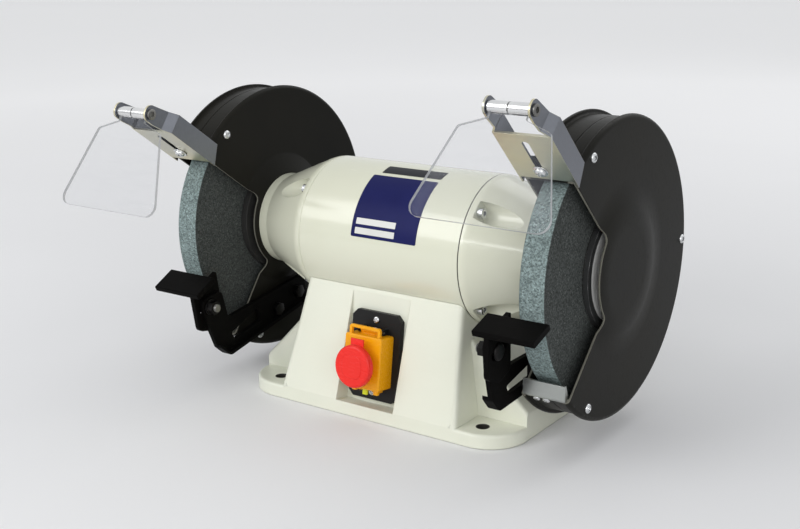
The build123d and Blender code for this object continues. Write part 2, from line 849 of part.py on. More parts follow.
def make_bracket(hand):
    """Galvanised channel that carries the shield; its slot slides on the guard's lug."""
    slide = bracket_slide[hand.name]
    inner = guard_back - bracket_side_gap
    outer = guard_front + bracket_side_gap
    foot = bracket_foot - slide
    top = web_top - slide
    hinge = hinge_reach - slide
    ear_end = hinge + ear_radius
    side_outline = [
        (foot, -sliding_gap - bracket_sheet),
        (top, -sliding_gap - bracket_sheet),
        (hinge - ear_radius, hinge_rise - ear_radius),
        (ear_end, hinge_rise - ear_radius),
        (ear_end, hinge_rise + ear_radius),
        (top, bracket_depth - bracket_sheet),
        (foot + bracket_foot_slant, bracket_depth - bracket_sheet),
    ]
    out_back, out_up = polar(1, mouth_top_angle + hand.clock)
    side_plane = Plane(
        (hand.side * (inner - bracket_sheet), 0, shaft_height),
        x_dir=(0, out_back, out_up),
        z_dir=(-1, 0, 0),
    )
    with BuildPart() as sides:
        for start, ear in ((inner - bracket_sheet, hinge_in), (outer, hinge_out - bracket_sheet)):
            outside = [(foot, start), (top, start), (top + joggle_length, ear), (ear_end, ear)]
            strip = outside + [(reach, across + bracket_sheet) for reach, across in reversed(outside)]
            extrude(
                outline_face(mouth_plane(hand, -bracket_depth), strip),
                amount=hand.side * 2 * bracket_depth,
            )
        extrude(
            outline_face(side_plane, side_outline, {3: ear_round, 4: ear_round, 5: ear_round}),
            amount=-hand.side * (outer - inner + 2 * bracket_sheet),
            mode=Mode.INTERSECT,
        )
    web = [
        (web_foot - slide, inner - bracket_sheet),
        (top, inner - bracket_sheet),
        (top, outer + bracket_sheet),
        (web_foot - slide, outer + bracket_sheet),
    ]
    with BuildPart() as bracket:
        add(sides.part)
        extrude(outline_face(mouth_plane(hand, -sliding_gap), web), amount=-hand.side * bracket_sheet)
        with BuildSketch(mouth_plane(hand, -sliding_gap)):
            with Locations((clamp_reach + slot_travel / 2 - slide, wheel_offset)):
                SlotCenterToCenter(slot_travel, 2 * (clamp_screw_radius + moving_gap))
        extrude(amount=-hand.side * bracket_sheet, mode=Mode.SUBTRACT)
        with BuildSketch(hinge_plane(hand, 0)):
            Circle(hinge_bolt_radius + seat_gap)
        extrude(amount=hand.side * 2 * wheel_offset, mode=Mode.SUBTRACT)
    keep(bracket, f"{hand.name}_shield_bracket")


def hinge_place(hand):
    """The shield hinge's place, as (y, z)."""
    back, up = polar(1, mouth_top_angle + hand.clock)
    reach = hinge_reach - bracket_slide[hand.name]
    return (reach * back + hinge_rise * up, shaft_height + reach * up - hinge_rise * back)


def hinge_plane(hand, reach):
    """Plane square to the shield's hinge bolt, that far out from the middle plane."""
    hinge_y, hinge_z = hinge_place(hand)
    return Plane((hand.side * reach, hinge_y, hinge_z), x_dir=(0, 1, 0), z_dir=(1, 0, 0))


def shield_plane(hand):
    """Middle plane of the hanging shield; local axes run to the right and down from the hinge."""
    hinge_y, hinge_z = hinge_place(hand)
    hang = radians(shield_hang_angle[hand.name])
    return Plane(
        (hand.side * hinge_middle, hinge_y, hinge_z),
        x_dir=(1, 0, 0),
        z_dir=(0, cos(hang), -sin(hang)),
    )


def make_hinge(hand):
    """Hinge bolt, its head on the right, and the split tube that turns on it and holds the shield."""
    tail, seat = sorted((hand.side * hinge_in, hand.side * hinge_out))
    with BuildPart() as bolt:
        with BuildSketch(hinge_plane(hand, hand.side * (tail - hinge_bolt_stub))):
            Circle(hinge_bolt_radius)
        extrude(amount=seat - tail + hinge_bolt_stub)
        with BuildSketch(hinge_plane(hand, hand.side * seat)):
            Circle(hinge_bolt_head_radius)
        extrude(amount=hinge_bolt_head_height)
    keep(bolt, f"{hand.name}_shield_bolt")
    tube_reach = hinge_half_width - bracket_sheet - hinge_tube_end_gap
    tube_length = tube_reach - hinge_tube_split / 2
    with BuildPart() as tube:
        for start in (hinge_middle - tube_reach, hinge_middle + hinge_tube_split / 2):
            with BuildSketch(hinge_plane(hand, start)):
                Circle(hinge_tube_radius)
                Circle(hinge_bolt_radius + running_gap, mode=Mode.SUBTRACT)
            extrude(amount=hand.side * tube_length)
        with BuildSketch(shield_plane(hand)):
            with Locations((0, shield_seat_drop - seat_gap + shield_neck_drop / 2)):
                Rectangle(2 * (shield_neck_half_width + seat_gap), shield_neck_drop)
        extrude(amount=shield_thickness / 2 + seat_gap, both=True, mode=Mode.SUBTRACT)
    keep(tube, f"{hand.name}_hinge_tube")


def make_shield(hand):
    """Clear panel whose neck is let into a slot in the hinge tube."""
    half_panel = [
        (shield_neck_half_width, shield_seat_drop),
        (shield_neck_half_width, shield_neck_drop),
        (shield_shoulder_half_width, shield_shoulder_drop),
        (shield_foot_half_width, shield_drop),
    ]
    panel = half_panel + [(-x, drop) for x, drop in reversed(half_panel)]
    rounds = {2: shield_corner / 2, 3: shield_corner, 4: shield_corner, 5: shield_corner / 2}
    with BuildPart() as shield:
        extrude(outline_face(shield_plane(hand), panel, rounds), amount=shield_thickness / 2, both=True)
    keep(shield, f"{hand.name}_shield")


def make_rest_arm(hand):
    """Rest arm: a plate bolted to the dish, with a window and a flange along its lower edge."""
    (rear_y, rear_z), _ = arm_bolt_places
    lower_edge = [arm_chin, arm_toe, (rear_y + arm_end_radius, rear_z - arm_end_radius)]
    upper_edge = [
        (rear_y + arm_end_radius, rear_z + arm_end_radius),
        arm_heel,
        arm_head_back,
        arm_head_front,
        arm_brow,
    ]
    outline = upper_edge + lower_edge
    rounds = {place: arm_corner for place in range(len(outline))}
    flange = lower_edge + [(y, z + arm_flange_wall) for y, z in reversed(lower_edge)]
    window_rounds = {place: arm_window_corner for place in range(len(arm_window))}
    with BuildPart() as arm:
        extrude(
            outline_face(guard_plane(hand, arm_reach - arm_flange), flange),
            amount=hand.side * (arm_flange + arm_plate),
        )
        extrude(
            outline_face(guard_plane(hand, arm_reach - arm_flange), outline, rounds),
            amount=hand.side * (arm_flange + arm_plate),
            mode=Mode.INTERSECT,
        )
        extrude(outline_face(guard_plane(hand, arm_reach), outline, rounds), amount=hand.side * arm_plate)
        extrude(
            outline_face(guard_plane(hand, arm_reach), arm_window, window_rounds),
            amount=hand.side * arm_plate,
            mode=Mode.SUBTRACT,
        )
        with BuildSketch(guard_plane(hand, arm_wheel_side)):
            with Locations(*arm_bolt_places):
                Circle(arm_boss_radius)
        extrude(amount=hand.side * arm_boss_height)
        with BuildSketch(guard_plane(hand, 0)):
            with Locations(*arm_bolt_places):
                Circle(arm_bolt_radius + hole_gap)
            with Locations(rest_clamp_place):
                Circle(rest_clamp_radius + seat_gap)
        extrude(amount=hand.side * 2 * wheel_offset, mode=Mode.SUBTRACT)
    keep(arm, f"{hand.name}_rest_arm")


def make_tool_rest(hand):
    """Rest table on a leg whose slot lets it slide toward the wheel as the wheel wears."""
    slope = radians(rest_tilt_angle)
    in_y, in_z = cos(slope), sin(slope)
    back_y, back_z = rest_back_edge
    front_y, front_z = back_y - rest_depth * in_y, back_z - rest_depth * in_z
    drop_y, drop_z = rest_thickness * in_z, -rest_thickness * in_y
    table = [
        (back_y, back_z),
        (front_y, front_z),
        (front_y + drop_y, front_z + drop_z),
        (back_y + drop_y, back_z + drop_z),
    ]
    mid_y = (rest_leg_front + rest_leg_back) / 2
    leg = [
        (rest_leg_back, back_z + (rest_leg_back - back_y) * in_z / in_y - rest_thickness / in_y),
        (rest_leg_front, back_z + (rest_leg_front - back_y) * in_z / in_y - rest_thickness / in_y),
        (rest_leg_front, rest_leg_foot + arm_corner),
        (mid_y, rest_leg_foot),
        (rest_leg_back, rest_leg_foot + arm_corner),
    ]
    slot_shift = (rest_outward_travel - rest_inward_travel) / 2
    slot_y = rest_clamp_place[0] + slot_shift * in_y
    slot_z = rest_clamp_place[1] + slot_shift * in_z
    slot_length = rest_outward_travel + rest_inward_travel
    with BuildPart() as rest:
        rounds = {place: rest_edge_round for place in range(len(table))}
        extrude(
            outline_face(guard_plane(hand, rest_inner_reach), table, rounds),
            amount=hand.side * rest_width,
        )
        extrude(
            outline_face(guard_plane(hand, leg_reach), leg, {2: arm_corner, 3: arm_corner, 4: arm_corner}),
            amount=hand.side * rest_leg_thickness,
        )
        with BuildSketch(guard_plane(hand, leg_reach)):
            with Locations((slot_y, slot_z)):
                slot_width = 2 * (rest_clamp_radius + moving_gap)
                SlotCenterToCenter(slot_length, slot_width, rotation=rest_tilt_angle)
        extrude(amount=hand.side * rest_leg_thickness, mode=Mode.SUBTRACT)
    keep(rest, f"{hand.name}_tool_rest")


def make_wheel_set(hand):
    """Grinding wheel between card blotters and two flanges, drawn up by the arbor nut."""
    wheel_wall = [
        (wheel_in, wheel_bore_radius),
        (wheel_in, wheel_radius),
        (wheel_out, wheel_radius),
        (wheel_out, wheel_bore_radius),
    ]
    with BuildPart() as wheel:
        revolve(turned_face(hand, wheel_wall, {1: wheel_corner, 2: wheel_corner}), axis=shaft_axis)
    keep(wheel, f"{hand.name}_wheel")
    hub_in = bearing_out + sliding_gap
    spigot_out = wheel_in + spigot_length
    inner_section = [
        (hub_in, journal_radius + seat_gap),
        (hub_in, flange_hub_radius),
        (inner_flange_in, flange_hub_radius),
        (inner_flange_in, flange_radius),
        (inner_flange_out, flange_radius),
        (inner_flange_out, flange_relief_radius),
        (inner_flange_out - flange_relief_depth, flange_relief_radius),
        (inner_flange_out - flange_relief_depth, wheel_bore_radius - seat_gap),
        (spigot_out, wheel_bore_radius - seat_gap),
        (spigot_out, journal_radius + seat_gap),
    ]
    with BuildPart() as inner_flange:
        revolve(turned_face(hand, inner_section), axis=shaft_axis)
    keep(inner_flange, f"{hand.name}_inner_flange")
    outer_section = [
        (outer_flange_in + flange_relief_depth, thread_radius + seat_gap),
        (outer_flange_in + flange_relief_depth, flange_relief_radius),
        (outer_flange_in, flange_relief_radius),
        (outer_flange_in, flange_radius),
        (outer_flange_out, flange_radius),
        (outer_flange_out, thread_radius + seat_gap),
    ]
    with BuildPart() as outer_flange:
        revolve(turned_face(hand, outer_section), axis=shaft_axis)
    keep(outer_flange, f"{hand.name}_outer_flange")
    with BuildPart() as nut:
        with BuildSketch(end_plane(hand, outer_flange_out)):
            RegularPolygon(arbor_nut_radius, 6)
            Circle(thread_radius + seat_gap, mode=Mode.SUBTRACT)
        extrude(amount=hand.side * arbor_nut_thickness)
    keep(nut, f"{hand.name}_arbor_nut")


for hand in hands:
    make_end_bell(hand)
    make_bearing(hand)
    make_guard_dish(hand)
    make_guard_cover(hand)
    make_deflector(hand)
    make_bracket(hand)
    make_hinge(hand)
    make_shield(hand)
    make_rest_arm(hand)
    make_tool_rest(hand)
    make_wheel_set(hand)

with BuildPart() as blotters:
    for hand in hands:
        for start in (inner_flange_out, wheel_out):
            with BuildSketch(end_plane(hand, start)):
                Circle(flange_radius - blotter_margin)
                Circle(flange_relief_radius, mode=Mode.SUBTRACT)
            extrude(amount=hand.side * blotter_thickness)
keep(blotters, "wheel_blotters")

# Fasteners, each kind one group of separate solids
with BuildPart() as bell_screws:
    for hand in hands:
        for radius, length in (
            (bell_screw_head_radius, bell_screw_head_height),
            (bell_screw_radius, seat_gap - scoop_floor - bell_screw_depth),
        ):
            with BuildSketch(end_plane(hand, bell_seat)):
                with PolarLocations(bell_screw_circle_radius, 4, start_angle=45):
                    Circle(radius)
            extrude(amount=hand.side * length)
keep(bell_screws, "end_bell_screws")

with BuildPart() as mount_screws:
    for hand in hands:
        for radius, length in (
            (mount_screw_head_radius, mount_screw_head_height),
            (mount_screw_radius, seat_gap - sheet - mount_screw_depth),
        ):
            with BuildSketch(guard_plane(hand, bell_end + sheet)):
                with PolarLocations(mount_screw_circle_radius, 4, start_angle=45):
                    Circle(radius)
            extrude(amount=hand.side * length)
keep(mount_screws, "guard_mount_screws")

post_places = [polar(post_circle_radius, angle) for angle in post_angles]
post_start = guard_back + sheet
post_end = guard_front - sheet
with BuildPart() as posts:
    for hand in hands:
        with BuildSketch(guard_plane(hand, post_start)):
            with Locations(*post_places):
                Circle(post_radius)
                Circle(guard_screw_radius + seat_gap, mode=Mode.SUBTRACT)
        extrude(amount=hand.side * (post_end - post_start))
keep(posts, "guard_posts")

with BuildPart() as guard_screws:
    for hand in hands:
        for seat, outward in ((guard_back, -hand.side), (guard_front, hand.side)):
            for radius, length in (
                (guard_screw_head_radius, guard_screw_head_height),
                (guard_screw_radius, -sheet - guard_screw_depth),
            ):
                with BuildSketch(guard_plane(hand, seat)):
                    with Locations(*post_places):
                        Circle(radius)
                extrude(amount=outward * length)
keep(guard_screws, "guard_screws")

with BuildPart() as deflector_screws:
    for hand in hands:
        for plane in deflector_screw_planes(hand, 0):
            with BuildSketch(plane):
                Circle(deflector_screw_head_radius)
            extrude(amount=deflector_screw_head_height)
            with BuildSketch(plane):
                Circle(deflector_screw_radius)
            extrude(amount=-sheet - deflector_sheet)
keep(deflector_screws, "deflector_screws")

with BuildPart() as bracket_screws:
    for hand in hands:
        front = -bracket_sheet - 2 * sliding_gap
        washer_front = front - clamp_washer_thickness
        grip = sheet + clamp_nut_height - washer_front
        for plane_lift, radius, length in (
            (front, clamp_washer_radius, -clamp_washer_thickness),
            (washer_front, clamp_head_radius, -clamp_head_height),
            (washer_front, clamp_screw_radius, grip),
        ):
            with BuildSketch(mouth_plane(hand, plane_lift)):
                with Locations((clamp_reach, wheel_offset)):
                    Circle(radius)
            extrude(amount=hand.side * length)
        with BuildSketch(mouth_plane(hand, sheet)):
            with Locations((clamp_reach, wheel_offset)):
                RegularPolygon(clamp_nut_radius, 6)
        extrude(amount=hand.side * clamp_nut_height)
keep(bracket_screws, "bracket_clamp_screws")

with BuildPart() as arm_bolts:
    for hand in hands:
        nut_seat = guard_back + sheet
        with BuildSketch(guard_plane(hand, arm_reach)):
            with Locations(*arm_bolt_places):
                RegularPolygon(arm_bolt_head_radius, 6)
        extrude(amount=-hand.side * arm_bolt_head_height)
        with BuildSketch(guard_plane(hand, arm_reach)):
            with Locations(*arm_bolt_places):
                Circle(arm_bolt_radius)
        extrude(amount=hand.side * (nut_seat + arm_nut_height - arm_reach))
        with BuildSketch(guard_plane(hand, nut_seat)):
            with Locations(*arm_bolt_places):
                RegularPolygon(arm_bolt_head_radius, 6)
        extrude(amount=hand.side * arm_nut_height)
keep(arm_bolts, "rest_arm_bolts")

with BuildPart() as clamp_bolts:
    for hand in hands:
        head_seat = leg_reach + rest_leg_thickness + sliding_gap
        nut_seat = arm_reach - rest_clamp_washer_thickness
        stud_end = nut_seat - rest_clamp_nut_height - rest_clamp_stub
        for reach, radius, length in (
            (stud_end, rest_clamp_radius, head_seat - stud_end),
            (nut_seat, rest_clamp_washer_radius, rest_clamp_washer_thickness),
            (head_seat, rest_clamp_head_radius, rest_clamp_head_height),
        ):
            with BuildSketch(guard_plane(hand, reach)):
                with Locations(rest_clamp_place):
                    Circle(radius)
            extrude(amount=hand.side * length)
        with BuildSketch(guard_plane(hand, nut_seat)):
            with Locations(rest_clamp_place):
                RegularPolygon(arm_bolt_head_radius, 6)
        extrude(amount=-hand.side * rest_clamp_nut_height)
keep(clamp_bolts, "rest_clamp_bolts")

# Switch: plate and body in the base's recess, buttons under a hinged lid with a stop knob
lid_back = switch_plate_thickness + sliding_gap
lid_front = lid_back + lid_depth
lid_hinge_up = lid_half_height + lid_hinge_rise - lid_drop
lid_hinge_out = switch_plate_thickness + lid_hinge_stand
ear_start = lid_knuckle_half_width + 2 * sliding_gap
button_places = {"start": button_pitch / 2, "stop": -button_pitch / 2}


def lid_plane(stand, drop=0.0):
    """As switch_plane, with its middle at the lid's middle, or that far below it."""
    plane = switch_plane(stand)
    return Plane(plane.origin - (lid_drop + drop) * plane.y_dir, x_dir=plane.x_dir, z_dir=plane.z_dir)


def lid_hinge_plane(across):
    """Plane square to the lid's hinge pin; local axes run out from the recess floor and down."""
    axis_y = switch_floor + lid_hinge_out * switch_out[1] + lid_hinge_up * switch_out[2]
    axis_z = switch_height + lid_hinge_out * switch_out[2] - lid_hinge_up * switch_out[1]
    return Plane((across, axis_y, axis_z), x_dir=switch_out, z_dir=(1, 0, 0))


with BuildPart() as switch_plate:
    with BuildSketch(switch_plane(0)):
        outer = Rectangle(2 * switch_plate_half_width, 2 * switch_plate_half_height)
        chamfer(outer.vertices(), switch_plate_corner)
        Rectangle(2 * switch_window_half_width, 2 * switch_window_half_height, mode=Mode.SUBTRACT)
        with GridLocations(1, 2 * switch_screw_offset, 1, 2):
            Circle(switch_screw_radius + hole_gap, mode=Mode.SUBTRACT)
    extrude(amount=switch_plate_thickness)
    for start in (-ear_start - lid_ear_width, ear_start):
        with BuildSketch(lid_hinge_plane(start)):
            Circle(lid_knuckle_radius)
            with Locations((-lid_hinge_stand / 2, 0)):
                Rectangle(lid_hinge_stand, 2 * lid_knuckle_radius)
            Circle(lid_pin_radius + seat_gap, mode=Mode.SUBTRACT)
        extrude(amount=lid_ear_width)
keep(switch_plate, "switch_plate")

with BuildPart() as switch_body:
    with BuildSketch(switch_plane(-seat_gap)):
        Rectangle(2 * switch_body_half_width, 2 * switch_body_half_height)
    extrude(amount=-switch_body_depth)
    with BuildSketch(switch_plane(-seat_gap)):
        Rectangle(2 * (switch_window_half_width - sliding_gap), 2 * (switch_window_half_height - sliding_gap))
    extrude(amount=switch_plate_thickness)
    for rise in button_places.values():
        with BuildSketch(switch_plane(switch_plate_thickness)):
            with Locations((0, rise)):
                Rectangle(2 * (button_half_width + sliding_gap), 2 * (button_half_height + sliding_gap))
        extrude(amount=-button_skirt - button_travel - sliding_gap, mode=Mode.SUBTRACT)
keep(switch_body, "switch_body")

for name, rise in button_places.items():
    with BuildPart() as button:
        with BuildSketch(switch_plane(switch_plate_thickness - button_skirt)):
            with Locations((0, rise)):
                RectangleRounded(2 * button_half_width, 2 * button_half_height, button_corner)
        extrude(amount=button_skirt + button_stand)
    keep(button, f"{name}_button")

with BuildPart() as switch_screws:
    with BuildSketch(switch_plane(switch_plate_thickness)):
        with GridLocations(1, 2 * switch_screw_offset, 1, 2):
            Circle(switch_screw_head_radius)
    extrude(amount=switch_screw_head_height)
    with BuildSketch(switch_plane(switch_plate_thickness)):
        with GridLocations(1, 2 * switch_screw_offset, 1, 2):
            Circle(switch_screw_radius)
    extrude(amount=seat_gap - switch_plate_thickness - switch_screw_depth)
keep(switch_screws, "switch_screws")

with BuildPart() as lid_pin:
    with BuildSketch(lid_hinge_plane(-ear_start - lid_ear_width)):
        Circle(lid_pin_radius)
    extrude(amount=2 * (ear_start + lid_ear_width))
keep(lid_pin, "lid_hinge_pin")

with BuildPart() as lid:
    with BuildSketch(lid_plane(lid_back)):
        RectangleRounded(2 * lid_half_width, 2 * lid_half_height, lid_round)
    extrude(amount=lid_depth)
    fillet(lid.faces().sort_by(Axis((0, 0, 0), switch_out))[-1].edges(), lid_front_round)
    with BuildSketch(lid_plane(lid_back)):
        Rectangle(2 * (lid_half_width - lid_wall), 2 * (lid_half_height - lid_wall))
    extrude(amount=lid_depth - lid_wall, mode=Mode.SUBTRACT)
    with BuildSketch(lid_plane(lid_front - lid_wall, knob_drop)):
        Circle(knob_stem_radius + moving_gap)
    extrude(amount=lid_wall, mode=Mode.SUBTRACT)
    with BuildSketch(lid_plane(lid_front - lid_loop_set_back)):
        with Locations((0, lid_half_height + (lid_loop_height - lid_wall) / 2)):
            RectangleRounded(2 * lid_loop_half_width, lid_loop_height + lid_wall, lid_loop_bar)
        with Locations((0, lid_half_height + (lid_loop_height - lid_loop_bar) / 2)):
            Rectangle(
                2 * (lid_loop_half_width - lid_loop_bar),
                lid_loop_height - lid_loop_bar,
                mode=Mode.SUBTRACT,
            )
    extrude(amount=-lid_loop_bar)
    with BuildSketch(lid_hinge_plane(-lid_knuckle_half_width)):
        Circle(lid_knuckle_radius)
        with Locations((0, (lid_hinge_rise + lid_wall) / 2)):
            Rectangle(2 * lid_knuckle_radius - lid_wall, lid_hinge_rise + lid_wall)
        Circle(lid_pin_radius + running_gap, mode=Mode.SUBTRACT)
    extrude(amount=2 * lid_knuckle_half_width)
    with BuildSketch(lid_plane(lid_back + lid_wall)):
        with Locations((0, -lid_half_height - lid_latch_length / 2 + lid_wall / 2)):
            with GridLocations(2 * lid_latch_width + lid_latch_length, 1, 2, 1):
                Rectangle(lid_latch_width, lid_latch_length + lid_wall)
    extrude(amount=lid_latch_depth)
keep(lid, "switch_lid")

knob_under = lid_front + knob_stand
plunger_tip = switch_plate_thickness + button_stand + 2 * sliding_gap
with BuildPart() as knob:
    with BuildSketch(lid_plane(knob_under, knob_drop)):
        Circle(knob_radius)
    extrude(amount=knob_thickness)
    fillet(knob.edges().filter_by(GeomType.CIRCLE).sort_by(Axis((0, 0, 0), switch_out))[-1:], knob_crown)
    with BuildSketch(lid_plane(lid_front - lid_wall - knob_stem_reach, knob_drop)):
        Circle(knob_stem_radius)
    extrude(amount=lid_wall + knob_stem_reach + knob_stand)
    with BuildSketch(switch_plane(plunger_tip)):
        with Locations((0, button_places["stop"])):
            Circle(knob_plunger_radius)
    extrude(amount=knob_under - plunger_tip)
    with BuildSketch(lid_plane(knob_under, knob_drop)):
        with Locations((0, knob_tab_rise / 2)):
            Rectangle(2 * knob_tab_half_width, knob_tab_rise)
    extrude(amount=-knob_tab_thickness)
keep(knob, "stop_knob")

with BuildPart() as gland:
    with BuildSketch(gland_plane(0)):
        RegularPolygon(gland_hex_radius, 6)
    extrude(amount=gland_hex_length)
    with BuildSketch(gland_plane(gland_hex_length)):
        Circle(gland_nut_radius)
    extrude(amount=gland_nut_length)
    fillet(gland.edges().filter_by(GeomType.CIRCLE).sort_by(Axis((0, 0, 0), gland_out))[-1:], gland_crown)
    with BuildSketch(gland_plane(0)):
        Circle(gland_thread_radius)
    extrude(amount=-gland_wall_reach)
    with BuildSketch(gland_plane(gland_hex_length + gland_nut_length)):
        Circle(gland_mouth_radius)
    extrude(amount=-gland_hex_length - gland_nut_length - gland_wall_reach, mode=Mode.SUBTRACT)
keep(gland, "cable_gland")
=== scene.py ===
"""Bench grinder dressed for rendering: finishes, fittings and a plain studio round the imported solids."""

from __future__ import annotations

import logging
from dataclasses import dataclass
from enum import Enum
from math import atan2, cos, degrees, hypot, pi, radians, sin
from typing import Iterable, Sequence

import bmesh
import bpy
from mathutils import Matrix, Vector

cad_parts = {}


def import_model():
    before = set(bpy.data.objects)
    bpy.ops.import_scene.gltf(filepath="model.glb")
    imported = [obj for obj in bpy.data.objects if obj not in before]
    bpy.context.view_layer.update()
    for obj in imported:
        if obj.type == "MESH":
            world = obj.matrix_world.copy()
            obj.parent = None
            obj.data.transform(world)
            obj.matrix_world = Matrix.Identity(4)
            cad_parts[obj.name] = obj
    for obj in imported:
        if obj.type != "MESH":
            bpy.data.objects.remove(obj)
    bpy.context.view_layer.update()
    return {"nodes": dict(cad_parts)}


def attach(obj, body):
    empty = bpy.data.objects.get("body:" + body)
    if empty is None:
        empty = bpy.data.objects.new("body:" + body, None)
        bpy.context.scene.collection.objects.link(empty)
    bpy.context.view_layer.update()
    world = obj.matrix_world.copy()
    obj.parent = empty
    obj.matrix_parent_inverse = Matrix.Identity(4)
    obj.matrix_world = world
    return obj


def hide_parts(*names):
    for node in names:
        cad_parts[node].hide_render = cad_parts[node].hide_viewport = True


LOG = logging.getLogger("bench_grinder")
MM = 0.001
ROOT = "frame_and_motor"
SHAFT_HEIGHT = 165.3
MOUTH_TOP = 135.0
LEFT_GUARD_TURN = 8.8
LEFT_BRACKET_SLIDE = 6.1
MERGE_DISTANCE = 1e-7
EASE_SEGMENTS = 3
NOISE_RANGE = (0.3, 0.7)
MIX_COLOUR_IN = (0, 6, 7)
MIX_COLOUR_OUT = 2
MIX_VECTOR_IN = (0, 4, 5)
MIX_VECTOR_OUT = 1
Colour = tuple[float, float, float, float]
Profile = Sequence[tuple[float, float]]
Seat = tuple[Vector, Vector]
Socket = bpy.types.NodeSocket


class End(Enum):
    """The two ends of the spindle; the value is the sign of X."""

    LEFT = -1
    RIGHT = 1

    @property
    def prefix(self) -> str:
        """First word of the names of this end's nodes and bodies."""
        return self.name.lower()

    @property
    def clock(self) -> float:
        """Turn of this end's guard about the shaft, in degrees."""
        return LEFT_GUARD_TURN if self is End.LEFT else 0.0

    @property
    def slide(self) -> float:
        """How far this end's shield bracket is pushed in, in millimetres."""
        return LEFT_BRACKET_SLIDE if self is End.LEFT else 0.0

    @property
    def way(self) -> Vector:
        """The way outward along the shaft."""
        return Vector((self.value, 0, 0))


class Recess(Enum):
    """What a driver fits into on a screw's head."""

    CROSS = "cross"
    SOCKET = "socket"
    NONE = "none"


class Head(Enum):
    """Outline of a screw's head."""

    PAN = "pan"
    CHEESE = "cheese"
    HEXAGON = "hexagon"


def polar(radius: float, angle: float) -> tuple[float, float]:
    """Point at a radius and an angle in degrees, as (back, up) from the shaft axis."""
    return radius * cos(radians(angle)), radius * sin(radians(angle))


def shaft_spot(end: End, reach: float, radius: float, angle: float, clocked: bool = True) -> Vector:
    """Place round the shaft.

    Args:
        end: End of the spindle.
        reach: Distance outward from the middle, in millimetres.
        radius: Distance from the shaft's axis, in millimetres.
        angle: Angle from the back, in degrees.
        clocked: Whether the place turns with that end's guard.

    Returns:
        The place in metres, in the shared frame.
    """
    back, up = polar(radius, angle + (end.clock if clocked else 0.0))
    return Vector((end.value * reach, back, SHAFT_HEIGHT + up)) * MM


def bracket_seat(end: End, across: float, reach: float, rise: float) -> Seat:
    """Place on a shield bracket, which lies along the upper cut of its guard's mouth.

    Args:
        end: End of the spindle.
        across: Distance to the right of the middle, in millimetres.
        reach: Distance from the shaft along the cut, in millimetres.
        rise: Distance square to the cut, up and to the back, in millimetres.

    Returns:
        The place in metres and the way of the rise.
    """
    back, up = polar(1, MOUTH_TOP + end.clock)
    along, lift = Vector((0, back, up)), Vector((0, up, -back))
    return (Vector((across, 0, SHAFT_HEIGHT)) + reach * along + rise * lift) * MM, lift


